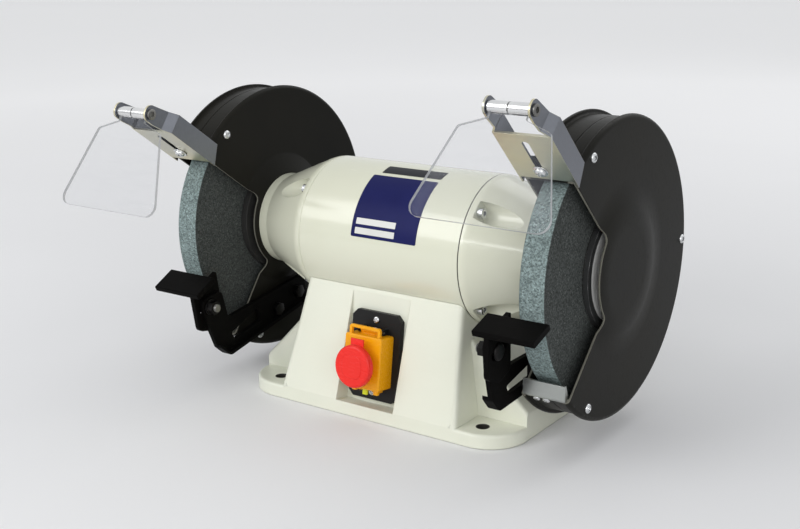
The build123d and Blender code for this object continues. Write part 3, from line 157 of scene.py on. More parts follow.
class Draft:
    """A node tree under construction."""

    def __init__(self, tree: bpy.types.NodeTree) -> None:
        """Keep the tree that nodes are added to."""
        self.tree = tree

    def add(self, kind: str, inputs: dict | None = None, **settings: object) -> bpy.types.Node:
        """Add a node.

        Args:
            kind: Blender's name of the node type.
            inputs: Socket name or index to a value, or to an output socket to link.
            **settings: Properties of the node itself.

        Returns:
            The new node.
        """
        node = self.tree.nodes.new(kind)
        for key, value in settings.items():
            setattr(node, key, value)
        self.feed(node, inputs or {})
        return node

    def feed(self, node: bpy.types.Node, inputs: dict) -> None:
        """Set or link a node's inputs.

        Args:
            node: The node to feed.
            inputs: Socket name or index to a value, or to an output socket to link.
        """
        for key, value in inputs.items():
            if isinstance(value, Socket):
                self.tree.links.new(value, node.inputs[key])
            else:
                node.inputs[key].default_value = value

    def effect(
        self, group: bpy.types.NodeTree, place: Socket, **values: float
    ) -> bpy.types.bpy_prop_collection:
        """Outputs of a shared effect, placed with its own values."""
        return self.add("ShaderNodeGroup", {"Vector": place, **values}, node_tree=group).outputs

    def bump(self, height: Socket, strength: float, depth: float, normal: Socket | None = None) -> Socket:
        """Lay a fine relief on the surface.

        Args:
            height: Height of the relief, from nought to one.
            strength: How much of it shows.
            depth: Its depth, in metres.
            normal: Normal it is laid on, where that isn't the surface's own.

        Returns:
            The normal of the relief.
        """
        inputs = {"Height": height, "Strength": strength, "Distance": depth}
        if normal is not None:
            inputs["Normal"] = normal
        return self.add("ShaderNodeBump", inputs).outputs[0]

    def math(self, operation: str, first: object, second: object = 0.0) -> Socket:
        """Result of one sum on two values."""
        return self.add("ShaderNodeMath", {0: first, 1: second}, operation=operation).outputs[0]

    def absolute(self, value: object) -> Socket:
        """A value without its sign."""
        return self.math("ABSOLUTE", value)

    def product(self, *values: object) -> Socket:
        """Multiply values.

        Args:
            *values: Sockets or numbers, two or more.

        Returns:
            Their product.
        """
        result = values[0]
        for value in values[1:]:
            result = self.math("MULTIPLY", result, value)
        return result

    def length(self, first: Socket, second: Socket) -> Socket:
        """Length of a line, from its two parts."""
        squares = self.math("ADD", self.product(first, first), self.product(second, second))
        return self.math("SQRT", squares)

    def span(
        self, value: object, low: float, high: float, to_low: float = 0.0, to_high: float = 1.0
    ) -> Socket:
        """A value mapped from one range to another, held inside it."""
        inputs = {"Value": value, "From Min": low, "From Max": high, "To Min": to_low, "To Max": to_high}
        return self.add("ShaderNodeMapRange", inputs, clamp=True).outputs[0]

    def tint(self, factor: object, first: object, second: object, blend: str = "MIX") -> Socket:
        """Colour between two colours, or another blend of them."""
        sockets = dict(zip(MIX_COLOUR_IN, (factor, first, second)))
        return self.add("ShaderNodeMix", sockets, data_type="RGBA", blend_type=blend).outputs[MIX_COLOUR_OUT]

    def noise(self, vector: object, scale: object, detail: float = 2.0, rough: float = 0.5) -> Socket:
        """Value of a smooth noise."""
        inputs = {"Vector": vector, "Scale": scale, "Detail": detail, "Roughness": rough}
        return self.add("ShaderNodeTexNoise", inputs).outputs[0]

    def split(self, vector: object) -> tuple[Socket, Socket, Socket]:
        """The three parts of a vector."""
        return tuple(self.add("ShaderNodeSeparateXYZ", {0: vector}).outputs)

    def normal(self) -> Socket:
        """The surface's normal in the object's own frame."""
        return self.add("ShaderNodeTexCoord").outputs["Normal"]

    def from_shaft(self, place: Socket) -> tuple[Socket, Socket, Socket, Socket]:
        """Place round the shaft, in metres.

        Args:
            place: Object coordinates.

        Returns:
            How far across, back and up from the middle of the shaft, and the distance from its axis.
        """
        across, back, height = self.split(place)
        up = self.math("SUBTRACT", height, SHAFT_HEIGHT * MM)
        return across, back, up, self.length(back, up)


class Effects:
    """Surface effects that several finishes share, each one node group."""

    bevel_samples: int = 4
    rub_turn: tuple[float, float] = (0.01, 0.22)
    rub_patches: tuple[float, float] = (0.42, 0.62)
    scuff_stretch: tuple[float, float, float] = (1.0, 9.0, 4.0)
    scuff_wisps: tuple[float, float] = (0.52, 0.72)

    def __init__(self) -> None:
        """Build the groups once."""
        self.edge_rub = self._edge_rub()
        self.skin = self._skin()
        self.scuff = self._scuff()

    @staticmethod
    def _start(
        name: str, inputs: dict[str, float | None], outputs: dict[str, str]
    ) -> tuple[Draft, bpy.types.Node, bpy.types.Node]:
        """Start a shader node group.

        Args:
            name: Name of the group.
            inputs: Input name to its usual value, or None for a vector.
            outputs: Output name to its socket type.

        Returns:
            The draft, its input node and its output node.
        """
        tree = bpy.data.node_groups.new(name, "ShaderNodeTree")
        for key, value in inputs.items():
            kind = "NodeSocketVector" if value is None else "NodeSocketFloat"
            socket = tree.interface.new_socket(key, in_out="INPUT", socket_type=kind)
            if value is not None:
                socket.default_value = value
        for key, kind in outputs.items():
            tree.interface.new_socket(key, in_out="OUTPUT", socket_type=kind)
        draft = Draft(tree)
        return draft, draft.add("NodeGroupInput"), draft.add("NodeGroupOutput")

    @classmethod
    def _edge_rub(cls) -> bpy.types.NodeTree:
        """Group that softens edges and marks where they are rubbed.

        Returns:
            The group, with outputs Mask and Normal.
        """
        names = {"Vector": None, "Radius": 0.0008, "Breakup": 160.0, "Amount": 0.5}
        sockets = {"Mask": "NodeSocketFloat", "Normal": "NodeSocketVector"}
        draft, start, end = cls._start("Edge rub", names, sockets)
        given = start.outputs
        soft = draft.add("ShaderNodeBevel", {"Radius": given["Radius"]}, samples=cls.bevel_samples).outputs[0]
        flat = draft.add("ShaderNodeNewGeometry").outputs["Normal"]
        dot = draft.add("ShaderNodeVectorMath", {0: soft, 1: flat}, operation="DOT_PRODUCT")
        turn = draft.span(draft.math("SUBTRACT", 1.0, dot.outputs["Value"]), *cls.rub_turn)
        patchy = draft.span(draft.noise(given["Vector"], given["Breakup"], 3.0), *cls.rub_patches)
        draft.feed(end, {"Mask": draft.product(turn, patchy, given["Amount"]), "Normal": soft})
        return draft.tree

    @classmethod
    def _skin(cls) -> bpy.types.NodeTree:
        """Group for a sprayed or moulded skin: a fine height and a slow change of tone.

        Returns:
            The group, with outputs Height and Tone.
        """
        names = {"Vector": None, "Grain": 500.0, "Drift": 11.0}
        sockets = {"Height": "NodeSocketFloat", "Tone": "NodeSocketFloat"}
        draft, start, end = cls._start("Skin", names, sockets)
        given = start.outputs
        slow = draft.noise(given["Vector"], given["Drift"], 4.0)
        height = draft.noise(given["Vector"], given["Grain"])
        draft.feed(end, {"Height": height, "Tone": draft.span(slow, *NOISE_RANGE)})
        return draft.tree

    @classmethod
    def _scuff(cls) -> bpy.types.NodeTree:
        """Group for fine scratches and smears.

        Returns:
            The group, with output Mask.
        """
        names = {"Vector": None, "Scale": 60.0, "Amount": 0.5}
        draft, start, end = cls._start("Scuff", names, {"Mask": "NodeSocketFloat"})
        given = start.outputs
        long_way = draft.add("ShaderNodeMapping", {"Vector": given["Vector"], "Scale": cls.scuff_stretch})
        wisp = draft.noise(long_way.outputs[0], given["Scale"], 6.0)
        draft.feed(end, {"Mask": draft.product(draft.span(wisp, *cls.scuff_wisps), given["Amount"])})
        return draft.tree


@dataclass(frozen=True)
class Finish:
    """A surface finish; its material is made once by the workshop."""

    name: str
    colour: Colour
    roughness: float
    specular: float = 0.5

    def make(self, effects: Effects) -> bpy.types.Material:
        """Build the material.

        Args:
            effects: Shared node groups.

        Returns:
            The finished material.
        """
        material = bpy.data.materials.new(self.name)
        material.use_nodes = True
        shader = material.node_tree.nodes["Principled BSDF"]
        draft = Draft(material.node_tree)
        plain = {"Base Color": self.colour, "Roughness": self.roughness, "Specular IOR Level": self.specular}
        draft.feed(shader, plain)
        self.dress(draft, shader, draft.add("ShaderNodeTexCoord").outputs["Object"], effects)
        return material

    def dress(self, draft: Draft, shader: bpy.types.Node, place: Socket, effects: Effects) -> None:
        """Add this finish's own nodes.

        Args:
            draft: The material's nodes.
            shader: Its Principled shader.
            place: Object coordinates.
            effects: Shared node groups.
        """
        raise NotImplementedError


@dataclass(frozen=True)
class Enamel(Finish):
    """Sprayed paint on metal, a little rubbed at the edges."""

    shade: Colour = (0.5, 0.5, 0.5, 1.0)
    rub: Colour = (0.3, 0.3, 0.3, 1.0)
    rub_amount: float = 0.15
    rub_radius: float = 0.0009
    grain: float = 420.0
    peel: float = 0.05
    coat: float = 0.25
    mark_colour: Colour = (0.1, 0.1, 0.1, 1.0)
    drift: float = 9.0
    breakup: float = 150.0
    smear_scale: float = 45.0
    smear: float = 0.06
    gloss_swing: tuple[float, float] = (-0.02, 0.03)
    peel_depth: float = 0.0006
    coat_roughness: float = 0.1

    def dress(self, draft: Draft, shader: bpy.types.Node, place: Socket, effects: Effects) -> None:
        """Add tone drift, orange peel, soft edges, rubbed edges and the finish's own marks.

        Args:
            draft: The material's nodes.
            shader: Its Principled shader.
            place: Object coordinates.
            effects: Shared node groups.
        """
        skin = draft.effect(effects.skin, place, Grain=self.grain, Drift=self.drift)
        rub = draft.effect(
            effects.edge_rub, place, Radius=self.rub_radius, Breakup=self.breakup, Amount=self.rub_amount
        )
        scuff = draft.effect(effects.scuff, place, Scale=self.smear_scale, Amount=self.smear)
        paint = draft.tint(skin["Tone"], self.colour, self.shade)
        paint = draft.tint(rub["Mask"], paint, self.rub)
        mark = self.mark(draft, place)
        if mark is not None:
            paint = draft.tint(mark, paint, self.mark_colour)
        glossy, dull = (self.roughness + swing for swing in self.gloss_swing)
        rough = draft.math("ADD", draft.span(skin["Tone"], 0.0, 1.0, glossy, dull), scuff["Mask"])
        form = self.form(draft, place, rub["Normal"])
        normal = draft.bump(skin["Height"], self.peel, self.peel_depth, form)
        draft.feed(shader, {"Base Color": paint, "Roughness": rough, "Normal": normal})
        draft.feed(shader, {"Coat Weight": self.coat, "Coat Roughness": self.coat_roughness})

    def mark(self, draft: Draft, place: Socket) -> Socket | None:
        """Mask of marks in their own colour; plain enamel has none."""
        return None

    def form(self, draft: Draft, place: Socket, soft: Socket) -> Socket:
        """Normal of the form under the paint; plain enamel keeps the softened edges."""
        return soft


@dataclass(frozen=True)
class SeamedEnamel(Enamel):
    """Enamel with painted shade in the joint round the motor's right end, where the gap between housing and
    bell lies in shadow.
    """

    seam: float = 95.6
    seam_half_width: float = 0.75
    seam_fade: float = 0.6

    def mark(self, draft: Draft, place: Socket) -> Socket:
        """Mask of the joint between housing and right end bell, where shade is painted."""
        off = draft.absolute(draft.math("SUBTRACT", draft.split(place)[0], self.seam * MM))
        return draft.span(off, self.seam_half_width * MM, self.seam_fade * self.seam_half_width * MM)


@dataclass(frozen=True)
class CastEnamel(Enamel):
    """Enamel on the base casting, with painted shade in the bores of its bench holes."""

    hole_across: float = 125.0
    hole_back: float = 77.0
    hole_radius: float = 6.5
    hole_margin: float = 0.1
    hole_fade: float = 0.2

    def mark(self, draft: Draft, place: Socket) -> Socket:
        """Find the bench holes' bores, where shade is painted.

        Args:
            draft: The material's nodes.
            place: Object coordinates.

        Returns:
            The mask, one where the mark is.
        """
        across, back, _ = draft.split(place)
        off_across = draft.math("SUBTRACT", draft.absolute(across), self.hole_across * MM)
        off_back = draft.math("SUBTRACT", draft.absolute(back), self.hole_back * MM)
        limit = (self.hole_radius + self.hole_margin) * MM
        return draft.span(draft.length(off_across, off_back), limit + self.hole_fade * MM, limit)


@dataclass(frozen=True)
class GuardEnamel(Enamel):
    """Satin enamel on a pressed guard, with bare metal on the sheared edges of its mouth."""

    hub_limit: float = 75.0
    lip_limit: float = 143.5
    lug_middle: float = 203.0
    lug_half_width: float = 17.8
    mouth_side: float = -214.4
    dome_slope: float = 0.2
    dome_slope_radii: tuple[float, float, float] = (84.0, 62.0, 38.0)
    dome_fade: tuple[float, float] = (6.0, 2.0)
    edge_on: tuple[float, float] = (0.35, 0.25)
    cut_facing: tuple[float, float] = (0.55, 0.7)
    cover_facing: tuple[float, float] = (0.90, 0.95)
    hub_fade: float = 1.0
    cut_fade: float = 0.5
    cover_fade: float = 1.0
    lug_fade: float = 0.2

    def mark(self, draft: Draft, place: Socket) -> Socket:
        """Find the mouth's sheared edges: the hub arc and the two radial cuts.

        Args:
            draft: The material's nodes.
            place: Object coordinates.

        Returns:
            The mask, one where the mark is.
        """
        across, back, up, reach = draft.from_shaft(place)
        along, facing_back, facing_up = draft.split(draft.normal())
        edge_on = draft.span(draft.absolute(along), *self.edge_on)
        hub = draft.span(reach, self.hub_limit * MM, (self.hub_limit - self.hub_fade) * MM)
        cross = draft.math("SUBTRACT", draft.product(facing_back, up), draft.product(facing_up, back))
        swirl = draft.math("DIVIDE", draft.absolute(cross), reach)
        side_back, side_up = polar(1, self.mouth_side)
        side = draft.math("ADD", draft.product(back, side_back), draft.product(up, side_up))
        off_lug = draft.absolute(draft.math("SUBTRACT", draft.absolute(across), self.lug_middle * MM))
        cut = draft.product(
            draft.span(swirl, *self.cut_facing),
            draft.span(side, -self.cut_fade * MM, self.cut_fade * MM),
            draft.span(reach, (self.lip_limit + self.cut_fade) * MM, self.lip_limit * MM),
            draft.span(off_lug, (self.lug_half_width - self.lug_fade) * MM, self.lug_half_width * MM),
        )
        return draft.product(edge_on, draft.math("MAXIMUM", hub, cut))

    def form(self, draft: Draft, place: Socket, soft: Socket) -> Socket:
        """Let the cover's pressed dome flow into the flat round it, as drawn sheet does.

        Args:
            draft: The material's nodes.
            place: Object coordinates.
            soft: Normal with softened edges.

        Returns:
            The normal of the form.
        """
        across, back, up, reach = draft.from_shaft(place)
        foot, middle, top = (radius * MM for radius in self.dome_slope_radii)
        slope = draft.product(
            draft.span(reach, top, middle), draft.span(reach, foot, middle), self.dome_slope
        )
        tilt = draft.math("DIVIDE", slope, reach)
        outward = draft.math("SIGN", across)
        parts = {0: outward, 1: draft.product(back, tilt), 2: draft.product(up, tilt)}
        lean = draft.add("ShaderNodeCombineXYZ", parts).outputs[0]
        lean = draft.add("ShaderNodeVectorMath", {0: lean}, operation="NORMALIZE").outputs[0]
        facing = draft.product(draft.split(draft.normal())[0], outward)
        far, near = (foot + fade * MM for fade in self.dome_fade)
        outside = self.lug_middle * MM
        on_cover = draft.product(
            draft.span(facing, *self.cover_facing),
            draft.span(reach, far, near),
            draft.span(draft.absolute(across), outside - self.cover_fade * MM, outside),
        )
        sockets = dict(zip(MIX_VECTOR_IN, (on_cover, soft, lean)))
        return draft.add("ShaderNodeMix", sockets, data_type="VECTOR").outputs[MIX_VECTOR_OUT]


@dataclass(frozen=True)
class Abrasive(Finish):
    """Vitrified grit: a paler rim and darker sides, both finely speckled."""

    rim: Colour = (0.2, 0.28, 0.3, 1.0)
    grain: float = 780.0
    fine_share: float = 1.6
    cloud_scale: float = 24.0
    rim_facing: tuple[float, float] = (0.75, 0.25)
    grain_tones: tuple[float, float] = (0.48, 1.26)
    fine_tones: tuple[float, float] = (-0.25, 0.25)
    cloud_tones: tuple[float, float] = (0.92, 1.06)
    glint_from: tuple[float, float] = (0.90, 0.97)
    glint: float = 0.45
    facet_from: tuple[float, float] = (0.85, 1.0)
    facet_roughness: float = 0.5
    edge: float = 0.0012
    pits: float = 0.8
    relief: float = 0.16
    relief_depth: float = 0.0006

    def dress(self, draft: Draft, shader: bpy.types.Node, place: Socket, effects: Effects) -> None:
        """Add grains of several tones, bright facets, pits, and a rim paler than the sides.

        Args:
            draft: The material's nodes.
            shader: Its Principled shader.
            place: Object coordinates.
            effects: Shared node groups.
        """
        along = draft.absolute(draft.split(draft.normal())[0])
        base = draft.tint(draft.span(along, *self.rim_facing), self.colour, self.rim)
        grains = draft.add("ShaderNodeTexVoronoi", {"Vector": place, "Scale": self.grain}).outputs
        tone, spark, _ = draft.split(grains["Color"])
        fine = draft.noise(place, self.fine_share * self.grain, 3.0, 0.6)
        cloud = draft.noise(place, self.cloud_scale, 3.0)
        level = draft.span(tone, 0.0, 1.0, *self.grain_tones)
        level = draft.math("ADD", level, draft.span(fine, *NOISE_RANGE, *self.fine_tones))
        level = draft.product(level, draft.span(cloud, *NOISE_RANGE, *self.cloud_tones))
        level = draft.math("ADD", level, draft.span(spark, *self.glint_from, 0.0, self.glint))
        height = draft.math("ADD", fine, draft.product(grains["Distance"], self.pits))
        soft = draft.effect(effects.edge_rub, place, Radius=self.edge, Amount=0.0)["Normal"]
        looks = {
            "Base Color": draft.tint(1.0, base, level, "MULTIPLY"),
            "Roughness": draft.span(spark, *self.facet_from, self.roughness, self.facet_roughness),
            "Normal": draft.bump(height, self.relief, self.relief_depth, soft),
        }
        draft.feed(shader, looks)


@dataclass(frozen=True)
class Metal(Finish):
    """Bare or plated metal, drawn along X or turned about the shaft."""

    second: Colour = (0.5, 0.5, 0.5, 1.0)
    streak: float = 300.0
    relief: float = 0.02
    drift: float = 18.0
    edge: float = 0.0006
    turned: bool = False
    metallic: float = 1.0
    painted_flank_reflection: Colour | None = None
    rim: Colour | None = None
    rim_from: float = 50.0
    rim_fade: float = 0.5
    flank_facing: tuple[float, float] = (0.45, 0.8)
    drawn_out: tuple[float, float, float] = (0.06, 1.0, 1.0)
    smear_scale: float = 70.0
    smear: float = 0.08
    breakup: float = 90.0
    rub_amount: float = 0.5
    rub_gain: float = 1.25
    tint_range: tuple[float, float] = (0.36, 0.64)
    streak_range: tuple[float, float] = (0.25, 0.75)
    streak_tones: tuple[float, float] = (0.96, 1.03)
    gloss_range: tuple[float, float] = (0.2, 0.8)
    gloss_swing: tuple[float, float] = (-0.03, 0.04)
    relief_depth: float = 0.0004

    def dress(self, draft: Draft, shader: bpy.types.Node, place: Socket, effects: Effects) -> None:
        """Add tool marks, a slow change of tint, smears, soft bright edges, and where asked a painted
        reflection on faces turned along X and painted shade beyond a radius.

        Args:
            draft: The material's nodes.
            shader: Its Principled shader.
            place: Object coordinates.
            effects: Shared node groups.
        """
        shader.inputs["Metallic"].default_value = self.metallic
        scuff = draft.effect(effects.scuff, place, Scale=self.smear_scale, Amount=self.smear)
        rub = draft.effect(
            effects.edge_rub, place, Radius=self.edge, Breakup=self.breakup, Amount=self.rub_amount
        )
        tone = draft.noise(self._along_marks(draft, place), self.streak, 3.0)
        tint = draft.span(draft.noise(place, self.drift, 3.0), *self.tint_range)
        colour = draft.tint(tint, self.colour, self.second)
        # Painted reflection: faces turned along X take this colour, a blue-grey reflection of the sky painted
        # in.
        if self.painted_flank_reflection is not None:
            sideways = draft.absolute(draft.split(draft.normal())[0])
            colour = draft.tint(draft.span(sideways, *self.flank_facing), colour, self.painted_flank_reflection)
        # Painted shade: beyond rim_from the colour turns near-black, as the dark inside of the guard.
        if self.rim is not None:
            limit = self.rim_from * MM
            beyond = draft.span(draft.from_shaft(place)[3], limit, limit + self.rim_fade * MM)
            colour = draft.tint(beyond, colour, self.rim)
        level = draft.span(tone, *self.streak_range, *self.streak_tones)
        colour = draft.tint(1.0, colour, level, "MULTIPLY")
        bright = tuple(min(1.0, self.rub_gain * part) for part in self.colour)
        colour = draft.tint(rub["Mask"], colour, bright)
        glossy, dull = (self.roughness + swing for swing in self.gloss_swing)
        rough = draft.math("ADD", draft.span(tone, *self.gloss_range, glossy, dull), scuff["Mask"])
        normal = draft.bump(tone, self.relief, self.relief_depth, rub["Normal"])
        draft.feed(shader, {"Base Color": colour, "Roughness": rough, "Normal": normal})

    def _along_marks(self, draft: Draft, place: Socket) -> Socket:
        """Find the way that the tool marks run.

        Args:
            draft: The material's nodes.
            place: Object coordinates.

        Returns:
            Coordinates drawn out along the marks.
        """
        if self.turned:
            across, _, _, reach = draft.from_shaft(place)
            return draft.add("ShaderNodeCombineXYZ", {0: across, 1: reach}).outputs[0]
        return draft.add("ShaderNodeMapping", {"Vector": place, "Scale": self.drawn_out}).outputs[0]


@dataclass(frozen=True)
class Moulding(Finish):
    """Moulded plastic with a fine grain."""

    shade: Colour = (0.5, 0.5, 0.5, 1.0)
    grain: float = 900.0
    relief: float = 0.06
    soft: float = 0.0007
    drift: float = 25.0
    breakup: float = 220.0
    rub_amount: float = 0.25
    rub_gain: float = 1.15
    rub_lift: float = 0.01
    smear_scale: float = 90.0
    smear: float = 0.08
    relief_depth: float = 0.0004

    def dress(self, draft: Draft, shader: bpy.types.Node, place: Socket, effects: Effects) -> None:
        """Add grain, tone drift, scuffs and softened edges.

        Args:
            draft: The material's nodes.
            shader: Its Principled shader.
            place: Object coordinates.
            effects: Shared node groups.
        """
        skin = draft.effect(effects.skin, place, Grain=self.grain, Drift=self.drift)
        rub = draft.effect(
            effects.edge_rub, place, Radius=self.soft, Breakup=self.breakup, Amount=self.rub_amount
        )
        scuff = draft.effect(effects.scuff, place, Scale=self.smear_scale, Amount=self.smear)
        paler = tuple(min(1.0, part * self.rub_gain + self.rub_lift) for part in self.colour[:3]) + (1.0,)
        colour = draft.tint(skin["Tone"], self.colour, self.shade)
        colour = draft.tint(rub["Mask"], colour, paler)
        rough = draft.math("ADD", scuff["Mask"], self.roughness)
        normal = draft.bump(skin["Height"], self.relief, self.relief_depth, rub["Normal"])
        draft.feed(shader, {"Base Color": colour, "Roughness": rough, "Normal": normal})


@dataclass(frozen=True)
class ClearSheet(Finish):
    """Clear plastic sheet that hangs at a lean: hardly seen on its faces, pale on its sawn edges."""

    sawn: Colour = (0.9, 0.9, 0.9, 1.0)
    lean: float = 30.5
    face_cover: float = 0.06
    edge_cover: float = 0.8
    edge_facing: tuple[float, float] = (0.92, 0.6)
    edge_roughness: float = 0.3
    wipe_scale: float = 24.0
    wipe: float = 0.03

    def dress(self, draft: Draft, shader: bpy.types.Node, place: Socket, effects: Effects) -> None:
        """Add a thin veil with wipe marks on the faces and frosted light on the edges.

        Args:
            draft: The material's nodes.
            shader: Its Principled shader.
            place: Object coordinates.
            effects: Shared node groups.
        """
        tilt = radians(self.lean)
        inputs = {0: draft.normal(), 1: (0.0, cos(tilt), -sin(tilt))}
        dot = draft.add("ShaderNodeVectorMath", inputs, operation="DOT_PRODUCT").outputs["Value"]
        edge = draft.span(draft.absolute(dot), *self.edge_facing)
        wipe = draft.effect(effects.scuff, place, Scale=self.wipe_scale, Amount=self.wipe)
        cover = draft.span(edge, 0.0, 1.0, self.face_cover, self.edge_cover)
        looks = {
            "Base Color": draft.tint(edge, self.colour, self.sawn),
            "Alpha": draft.math("ADD", cover, wipe["Mask"]),
            "Roughness": draft.span(edge, 0.0, 1.0, self.roughness, self.edge_roughness),
        }
        draft.feed(shader, looks)


@dataclass(frozen=True)
class Fibrous(Finish):
    """Card or wound wire: fine bands over a drifting tone."""

    second: Colour = (0.5, 0.5, 0.5, 1.0)
    bands: float = 300.0
    metallic: float = 0.0
    sway: float = 2.0
    grain: float = 700.0
    drift: float = 30.0
    relief: float = 0.3
    relief_depth: float = 0.0005

    def dress(self, draft: Draft, shader: bpy.types.Node, place: Socket, effects: Effects) -> None:
        """Add bands, drift and a little relief.

        Args:
            draft: The material's nodes.
            shader: Its Principled shader.
            place: Object coordinates.
            effects: Shared node groups.
        """
        shader.inputs["Metallic"].default_value = self.metallic
        inputs = {"Vector": place, "Scale": self.bands, "Distortion": self.sway}
        wave = draft.add("ShaderNodeTexWave", inputs, bands_direction="DIAGONAL").outputs["Fac"]
        skin = draft.effect(effects.skin, place, Grain=self.grain, Drift=self.drift)
        mix = draft.product(draft.math("ADD", wave, skin["Tone"]), 0.5)
        normal = draft.bump(wave, self.relief, self.relief_depth)
        draft.feed(shader, {"Base Color": draft.tint(mix, self.colour, self.second), "Normal": normal})


# CREAM's mark_colour is painted shade, laid in the gap at the right bell's joint.
CREAM = SeamedEnamel(
    "cream_enamel", (0.715, 0.725, 0.590, 1), 0.2, shade=(0.69, 0.695, 0.555, 1), rub=(0.5, 0.49, 0.4, 1),
    coat=0.4, mark_colour=(0.07, 0.066, 0.055, 1),
)
# IVORY's mark_colour is painted shade inside the bores of the bench holes.
IVORY = CastEnamel(
    "ivory_casting", (0.79, 0.805, 0.690, 1), 0.33, shade=(0.765, 0.775, 0.655, 1), rub=(0.5, 0.49, 0.42, 1),
    rub_radius=0.0016, grain=210.0, peel=0.16, coat=0.15, mark_colour=(0.035, 0.034, 0.03, 1),
)
CHARCOAL = GuardEnamel(
    "guard_charcoal", (0.0100, 0.0098, 0.0084, 1), 0.34, 0.065, shade=(0.0140, 0.0132, 0.0104, 1),
    rub=(0.05, 0.05, 0.046, 1), rub_amount=0.08, rub_radius=0.0022, grain=700.0, peel=0.07, coat=0.0,
    mark_colour=(0.19, 0.185, 0.155, 1),
)
REST_BLACK = Enamel(
    "rest_black", (0.0020, 0.0020, 0.0020, 1), 0.5, 0.03, shade=(0.0034, 0.0031, 0.0028, 1),
    rub=(0.025, 0.024, 0.022, 1), grain=520.0, peel=0.12, coat=0.0,
)
GRIT = Abrasive("wheel_grit", (0.058, 0.064, 0.061, 1), 0.9, 0.2, rim=(0.21, 0.268, 0.264, 1))
# Galvanised web: a yellow passivation tint, partly also a painted reflection of the cream motor; the flank
# colour is a painted reflection of the sky on faces turned along X.
GALVANISED = Metal(
    "galvanised_sheet", (0.66, 0.605, 0.41, 1), 0.33, second=(0.53, 0.53, 0.46, 1), streak=220.0, drift=13.0,
    painted_flank_reflection=(0.21, 0.22, 0.245, 1),
)
BRIGHT_SHEET = Metal(
    "bright_sheet", (0.46, 0.48, 0.46, 1), 0.3, second=(0.38, 0.395, 0.38, 1), streak=220.0, relief=0.003,
    drift=13.0,
)
TURNED = Metal(
    "turned_steel", (0.80, 0.80, 0.79, 1), 0.26, second=(0.70, 0.70, 0.69, 1), streak=900.0, turned=True
)
# Near-white and hardly metallic: a painted highlight standing in for the bright reflection of the steel
# flange; its rim colour beyond rim_from is painted shade.
FLANGE = Metal(
    "flange_steel", (0.93, 0.93, 0.90, 1), 0.3, second=(0.88, 0.88, 0.86, 1), streak=600.0, turned=True,
    metallic=0.05, rim=(0.035, 0.036, 0.036, 1),
)
FLANGE_DARK = Metal(
    "flange_dark", (0.03, 0.03, 0.029, 1), 0.45, second=(0.045, 0.044, 0.042, 1), streak=600.0, turned=True,
    metallic=0.3,
)
BRIGHT = Metal(
    "bright_tube", (0.80, 0.80, 0.79, 1), 0.13, second=(0.62, 0.62, 0.63, 1), streak=500.0, edge=0.0003
)
ZINC = Metal(
    "zinc_plate", (0.74, 0.75, 0.75, 1), 0.22, second=(0.60, 0.61, 0.62, 1), streak=500.0, edge=0.0003
)
DULL_STEEL = Metal("dull_steel", (0.24, 0.235, 0.22, 1), 0.3, second=(0.17, 0.168, 0.16, 1), edge=0.0004)
BLACKED = Metal("blacked_steel", (0.013, 0.0125, 0.012, 1), 0.4, second=(0.02, 0.0195, 0.019, 1), edge=0.0004)
LAMINATED = Metal("laminated_core", (0.30, 0.30, 0.31, 1), 0.45, second=(0.2, 0.2, 0.21, 1), streak=900.0)
COPPER = Fibrous(
    "wound_copper", (0.50, 0.20, 0.07, 1), 0.4, second=(0.36, 0.13, 0.05, 1), bands=420.0, metallic=1.0
)
CARD = Fibrous("blotter_card", (0.30, 0.25, 0.18, 1), 0.9, second=(0.24, 0.20, 0.14, 1), bands=900.0)
CLEAR = ClearSheet("clear_sheet", (0.40, 0.42, 0.47, 1), 0.06, sawn=(0.47, 0.48, 0.49, 1))
SWITCH_BLACK = Moulding(
    "switch_black", (0.008, 0.008, 0.0082, 1), 0.42, 0.22, shade=(0.012, 0.012, 0.012, 1), relief=0.12
)
LID_YELLOW = Moulding("lid_yellow", (0.91, 0.405, 0.006, 1), 0.27, 0.25, shade=(0.88, 0.38, 0.005, 1))
STOP_RED = Moulding("stop_red", (0.86, 0.030, 0.022, 1), 0.26, 0.25, shade=(0.82, 0.026, 0.019, 1))
START_GREEN = Moulding("start_green", (0.02, 0.25, 0.06, 1), 0.3, 0.25, shade=(0.02, 0.22, 0.05, 1))
TAB_LIME = Moulding("tab_lime", (0.70, 0.74, 0.03, 1), 0.33, 0.25, shade=(0.64, 0.70, 0.03, 1))
PLATE_NAVY = Moulding(
    "plate_navy", (0.0115, 0.0135, 0.080, 1), 0.35, 0.06, shade=(0.014, 0.017, 0.095, 1), relief=0.02,
    soft=0.0002,
)
PLATE_DARK = Moulding(
    "plate_dark", (0.011, 0.012, 0.016, 1), 0.35, 0.1, shade=(0.014, 0.015, 0.02, 1), relief=0.02,
    soft=0.0002,
)
PLATE_PALE = Moulding(
    "plate_pale", (0.72, 0.72, 0.69, 1), 0.3, 0.3, shade=(0.68, 0.68, 0.65, 1), relief=0.02,
    soft=0.0002,
)


class Workshop:
    """Makes each finish once and hands it out."""

    def __init__(self) -> None:
        """Start with the shared effects and no materials."""
        self.effects = Effects()
        self.made: dict[str, bpy.types.Material] = {}

    def material(self, finish: Finish) -> bpy.types.Material:
        """Hand out a finish's material, made the first time it is asked for.

        Args:
            finish: The finish.

        Returns:
            Its material.
        """
        if finish.name not in self.made:
            self.made[finish.name] = finish.make(self.effects)
        return self.made[finish.name]

    def dress(self, nodes: dict[str, bpy.types.Object], finish: Finish, *names: str) -> None:
        """Give CAD nodes a finish.

        Args:
            nodes: All CAD nodes by name.
            finish: Finish to give.
            *names: Nodes that get it.
        """
        for name in names:
            for slot in nodes[name].material_slots:
                slot.material = self.material(finish)
            LOG.info("dressed %s with %s", name, finish.name)


